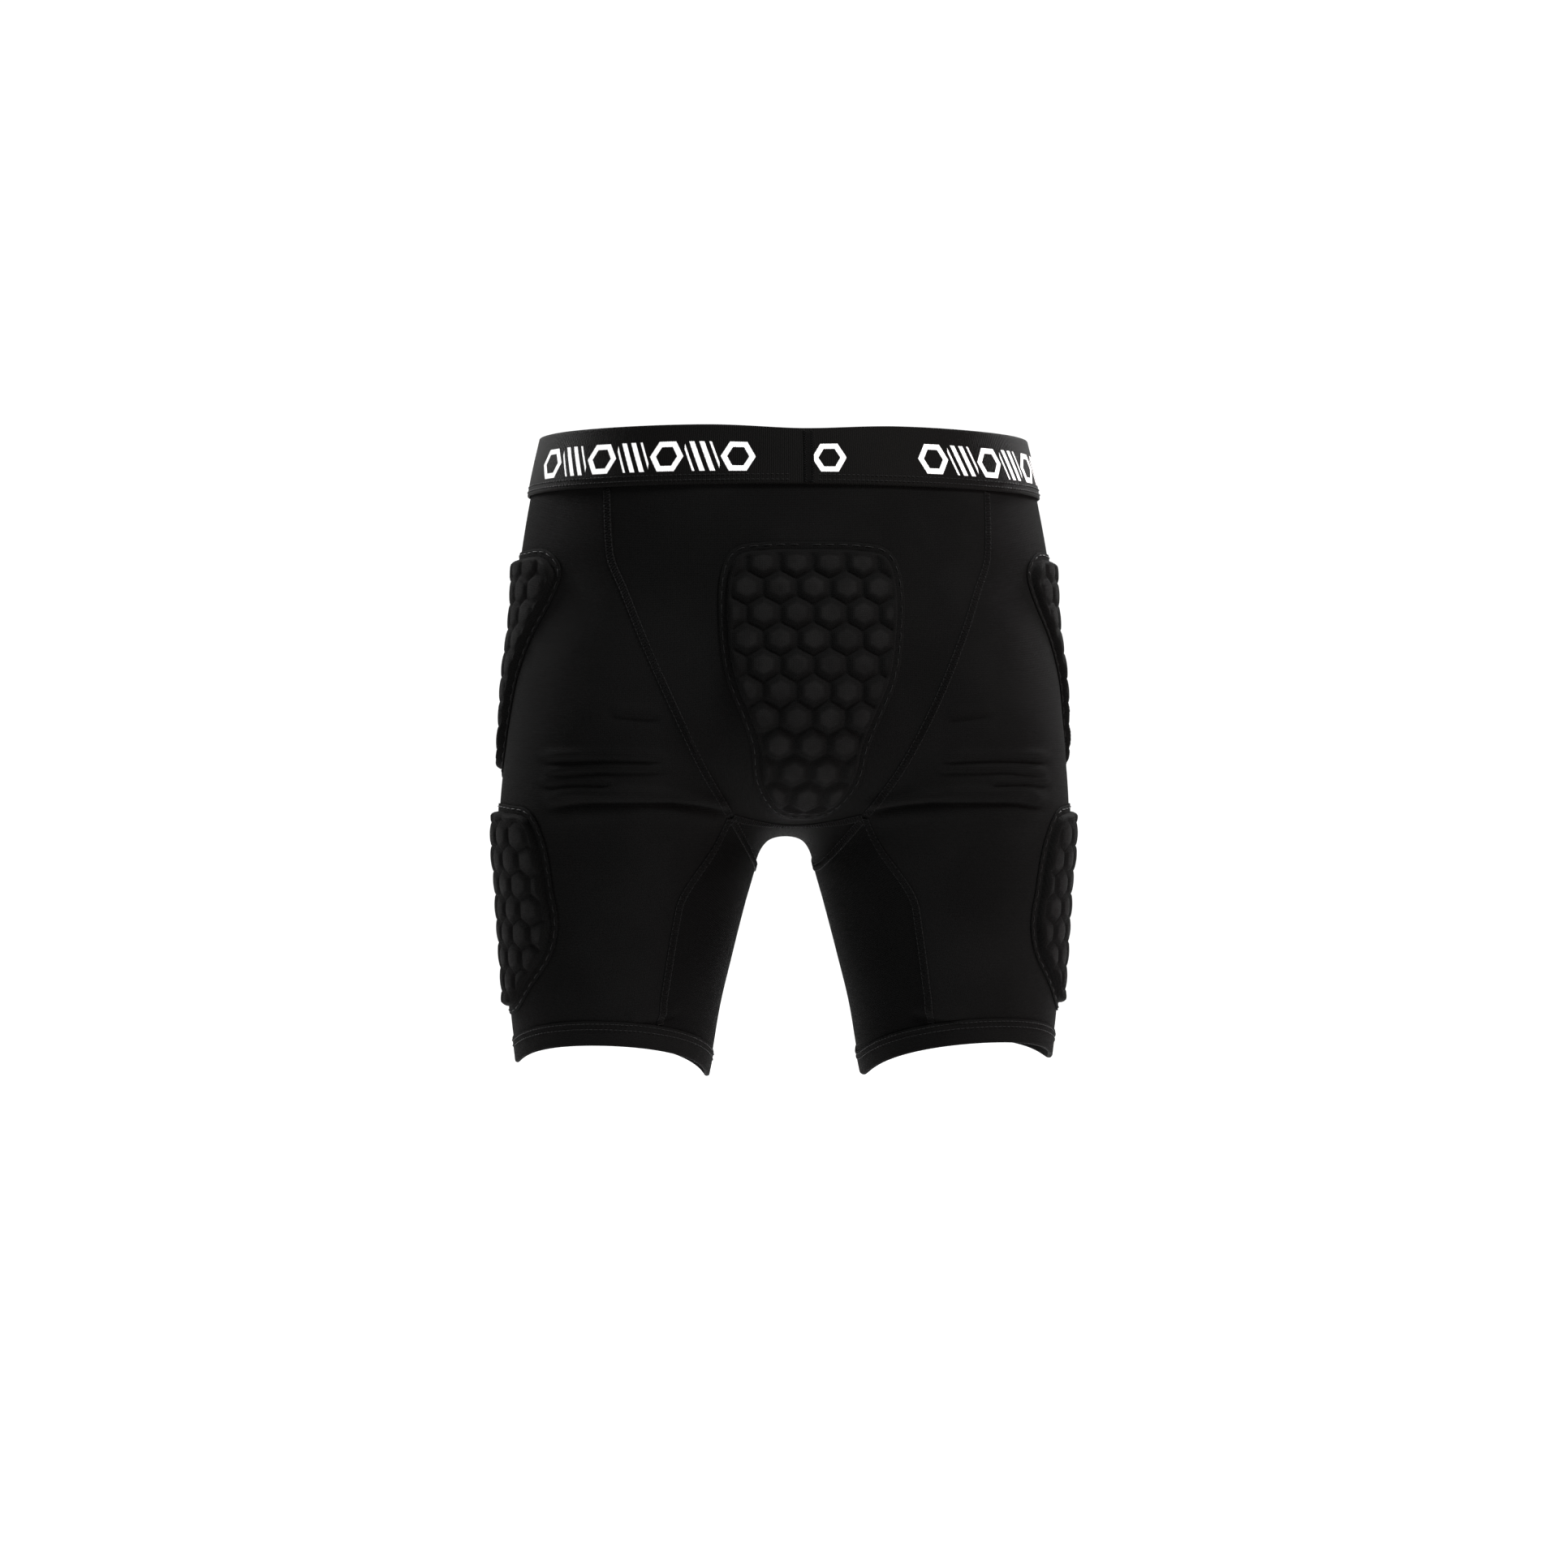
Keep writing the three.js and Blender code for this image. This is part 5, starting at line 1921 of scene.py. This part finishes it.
    def cover(self, sides: Sequence[tuple[Side, str]]) -> None:
        """The fabric cover.

        Args:
            sides: The sides that get one, each with the prefix of its piece's name.
        """
        net, points = self.blank(self.step, self.rim)
        moved, height, top = self.cover_shape(points)
        moved, height = self.drape(net, points, moved, height)
        for side, prefix in sides:
            node = f"{prefix}{self.name}_pad_cover"
            obj = self.wrap(node + "_fabric", net, moved, self.layers.seam_foot + height, side)
            layer = obj.data.attributes.new("cell_top", "FLOAT", "POINT")
            layer.data.foreach_set("value", top.astype(np.float32))
            self.shop.thicken(obj, self.fabric)
            self.shop.finish(obj, Slot.PAD, [node])
        net.free()

    def foam(self, sides: Sequence[tuple[Side, str]]) -> None:
        """The foam under the cover: a web with a bevelled six-sided cell over each middle.

        Args:
            sides: The sides that get one, each with the prefix of its piece's name.
        """
        reach = self.cells.pitch / math.sqrt(3)
        full = self.height - self.fabric - self.foam_drop
        turn = np.radians(60 * np.arange(6) + 30)
        corners = np.stack([reach * np.cos(turn), self.cells.squash * reach * np.sin(turn)], axis=1)
        cells = bmesh.new()
        for middle in self.cells.middles(self.foam_reach):
            if self.measure(middle + corners)[0].min() < self.foam_margin:
                continue
            ring = [cells.verts.new((*(middle + self.foam_share * corner), 0.0)) for corner in corners]
            cells.faces.new(ring)
        raised = bmesh.ops.extrude_face_region(cells, geom=cells.faces[:])
        tops = [e for e in raised["geom"] if isinstance(e, bmesh.types.BMFace)]
        lifted = [e for e in raised["geom"] if isinstance(e, bmesh.types.BMVert)]
        bmesh.ops.translate(cells, vec=(0, 0, full), verts=lifted)
        edges = list({edge for face in tops for edge in face.edges})
        bmesh.ops.bevel(
            cells, geom=edges, offset=self.foam_bevel, segments=2, profile=0.5, affect="EDGES", material=-1
        )
        bmesh.ops.recalc_face_normals(cells, faces=cells.faces)
        web, flat = self.blank(self.foam_step, -self.foam_margin)
        for vert, place in zip(web.verts, flat):
            vert.co = (place[0], place[1], 0.0)
        bmesh.ops.solidify(web, geom=web.faces[:], thickness=-self.foam_web)
        bmesh.ops.recalc_face_normals(web, faces=web.faces)
        part = bpy.data.meshes.new("foam_web")
        web.to_mesh(part)
        cells.from_mesh(part)
        web.free()
        bpy.data.meshes.remove(part)
        solid_points = np.array([v.co[:] for v in cells.verts])
        for side, prefix in sides:
            node = f"{prefix}{self.name}_pad_foam"
            height = self.layers.seam_foot + 0.1 + solid_points[:, 2]
            obj = self.wrap(node + "_cells", cells, solid_points[:, :2], height, side)
            self.shop.finish(obj, Slot.FOAM, [node])
        cells.free()

    def stitches(self, sides: Sequence[tuple[Side, str]], sewing: Sewing) -> None:
        """The row of stitches that sews the rim down.

        Args:
            sides: The sides that get one, each with the prefix of its piece's name.
            sewing: What lays the stitches.
        """
        line = self.edge()
        away = np.gradient(line, axis=0)
        away[0] = away[-1] = line[1] - line[-2]
        turning = np.sign((line[:-1, 0] * np.diff(line[:, 1]) - line[:-1, 1] * np.diff(line[:, 0])).sum())
        outward = np.stack([away[:, 1], -away[:, 0]], axis=1) * turning
        outward = outward / np.linalg.norm(outward, axis=1, keepdims=True)
        ring = line + outward * self.stitch_reach
        points = self.place(ring[:, 0], ring[:, 1])
        height = self.layers.seam_foot + self.fabric + 0.22
        rows = sewing.dashes(points, height, dash=self.stitch_length, pitch=self.stitch_pitch)
        for side, prefix in sides:
            node = f"{prefix}{self.name}_pad_stitch"
            row = self.shop.threads(node + "_row", lines_for(side, rows), self.stitch_thread)
            self.shop.finish(row, Slot.THREAD, [node])

    def build(self, sides: Sequence[tuple[Side, str]], sewing: Sewing) -> None:
        """The whole pad.

        Args:
            sides: The sides that get one, each with the prefix of its piece's name.
            sewing: What lays the stitches.
        """
        self.foam(sides)
        self.cover(sides)
        self.stitches(sides, sewing)


@dataclass(frozen=True)
class PadSet:
    """The tailbone, hip and thigh pads."""

    shop: Workshop
    layers: Layers
    sewing: Sewing
    tail_middle: float = 146.0
    tail_shift: float = 4.0
    hip_middle: float = 147.0
    hip_radius: float = 92.0
    thigh_middle: float = 302.0
    thigh_radius: float = 80.0
    tail_side: tuple = (
        (29, 65), (44, 62), (49.5, 50), (50, 12), (46, -12), (37, -34), (30.5, -52), (26.5, -74), (15, -89),
    )
    hip_edge: tuple = (
        (0, 66), (40, 65), (55, 58), (61, 40), (61, 5), (56, -32), (46, -55), (30, -65), (12, -64),
        (-2, -54), (-12, -34), (-26, -6), (-42, 20), (-58, 42), (-62, 56), (-50, 65), (-24, 66),
    )
    thigh_side: tuple = (
        (34, 59), (56, 56), (63, 44), (69, 12), (73, -10), (68, -27), (50, -45), (33, -58), (18, -62),
    )

    @staticmethod
    def whole(top: float, half: Sequence[tuple[float, float]], bottom: float) -> tuple:
        """A full outline from its right half."""
        other = tuple((-s, t) for s, t in reversed(half))
        return ((0.0, top), *half, (0.0, bottom), *other)

    def build(self) -> None:
        """Every pad."""
        body = self.layers.body
        both = [(side, side.label + "_") for side in Side]

        def tail(s: np.ndarray, t: np.ndarray) -> np.ndarray:
            """The tailbone pad's place on the seat, a little to the right."""
            return body.on_face(Face.BACK, s + self.tail_shift, self.tail_middle - t)

        def hip(s: np.ndarray, t: np.ndarray) -> np.ndarray:
            """The hip pad's place round the hip."""
            return body.on_thigh(np.degrees(s / self.hip_radius), self.hip_middle - t)

        def thigh(s: np.ndarray, t: np.ndarray) -> np.ndarray:
            """The thigh pad's place round the thigh."""
            return body.on_thigh(np.degrees(s / self.thigh_radius), self.thigh_middle - t)

        made = (self.shop, self.layers)
        tail_edge = self.whole(65.5, self.tail_side, -92.0)
        thigh_edge = self.whole(60.0, self.thigh_side, -62.0)
        Pad("tailbone", tail_edge, tail, Cells((0, 12)), *made).build([(Side.RIGHT, "")], self.sewing)
        Pad("hip", self.hip_edge, hip, Cells((0, 0), depth=0.9, crown=0.7), *made).build(both, self.sewing)
        Pad("thigh", thigh_edge, thigh, Cells((0, 0), depth=1.2, crown=0.85), *made).build(both, self.sewing)


# ---------------------------------------------------------------- studio
@dataclass(frozen=True)
class Studio:
    """Pale floor, soft lights and the camera."""

    azimuth: float = -6.0
    distance: float = 2.2
    eye_height: float = -0.223
    lens: float = 77.35
    floor_height: float = -0.78
    floor_size: float = 40.0

    def floor(self) -> None:
        """A plain pale floor."""
        sheet = bmesh.new()
        bmesh.ops.create_grid(sheet, x_segments=1, y_segments=1, size=self.floor_size / 2)
        bmesh.ops.translate(sheet, vec=(0, 0, self.floor_height), verts=sheet.verts)
        mesh = bpy.data.meshes.new("floor")
        sheet.to_mesh(mesh)
        sheet.free()
        obj = Workshop.link("floor", mesh)
        board = Board("pale_floor")
        board.shade(Base_Color=(0.96, 0.96, 0.96, 1), Roughness=0.9, Specular_IOR_Level=0.1)
        mesh.materials.append(board.material)

    @staticmethod
    def lamp(name: str, place: tuple, energy: float, size: float, tint: tuple = (1.0, 1.0, 1.0)) -> None:
        """A square soft light that points at the shorts' middle.

        Args:
            name: The light's name.
            place: Where it stands, in metres.
            energy: How strong it is, in watts.
            size: How wide it is, in metres.
            tint: Its colour.
        """
        light = bpy.data.lights.new(name, "AREA")
        light.energy = energy
        light.size = size
        light.color = tint
        obj = bpy.data.objects.new(name, light)
        obj.location = place
        way = Vector((0.0, 0.0, -0.2)) - Vector(place)
        obj.rotation_euler = way.to_track_quat("-Z", "Y").to_euler()
        bpy.context.scene.collection.objects.link(obj)

    def lights(self) -> None:
        """A bright world, a key light high on the right, weak fills and two lights from the front."""
        world = bpy.data.worlds.new("white_room")
        world.use_nodes = True
        world.node_tree.nodes["Background"].inputs["Color"].default_value = (1, 1, 1, 1)
        world.node_tree.nodes["Background"].inputs["Strength"].default_value = 1.08
        bpy.context.scene.world = world
        self.lamp("key", (0.95, -1.1, 2.0), 340.0, 0.7)
        self.lamp("fill", (-1.9, -0.9, 0.9), 6.0, 1.2)
        self.lamp("warm", (2.1, -0.7, -0.1), 30.0, 0.8, (1.0, 0.5, 0.45))
        for side in Side:
            self.lamp("rim_" + side.label, (1.5 * side.value, 1.4, 1.3), 260.0, 0.8)
        bpy.context.scene.view_settings.view_transform = "Standard"

    def camera(self) -> None:
        """The camera, level with the shorts' middle."""
        turn = math.radians(self.azimuth)
        data = bpy.data.cameras.new("camera")
        data.lens = self.lens
        obj = bpy.data.objects.new("camera", data)
        obj.location = (self.distance * math.sin(turn), -self.distance * math.cos(turn), self.eye_height)
        obj.rotation_euler = (math.pi / 2, 0.0, turn)
        bpy.context.scene.collection.objects.link(obj)
        bpy.context.scene.camera = obj


def main() -> None:
    """Builds the shorts and the studio round them."""
    logging.basicConfig(level=logging.INFO, format="%(message)s")
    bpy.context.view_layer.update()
    studio = Studio()
    studio.camera()
    studio.floor()
    studio.lights()
    body = Body()
    layers = Layers(body, Folds(body))
    cut = Cut(body)
    shop = Workshop(Finishes())
    sewing = Sewing(shop, layers)
    PadSet(shop, layers, sewing).build()
    shell = Shell(shop, layers, cut, sewing)
    shell.panels()
    shell.seams()
    band = Waistband(shop, layers, sewing)
    band.ring()
    band.join()
    band.coverstitch()
    Hem(shop, layers, cut, sewing).build()
    LOG.info("%d triangles before thickness", shop.triangles)


if __name__ == "__main__":
    main()
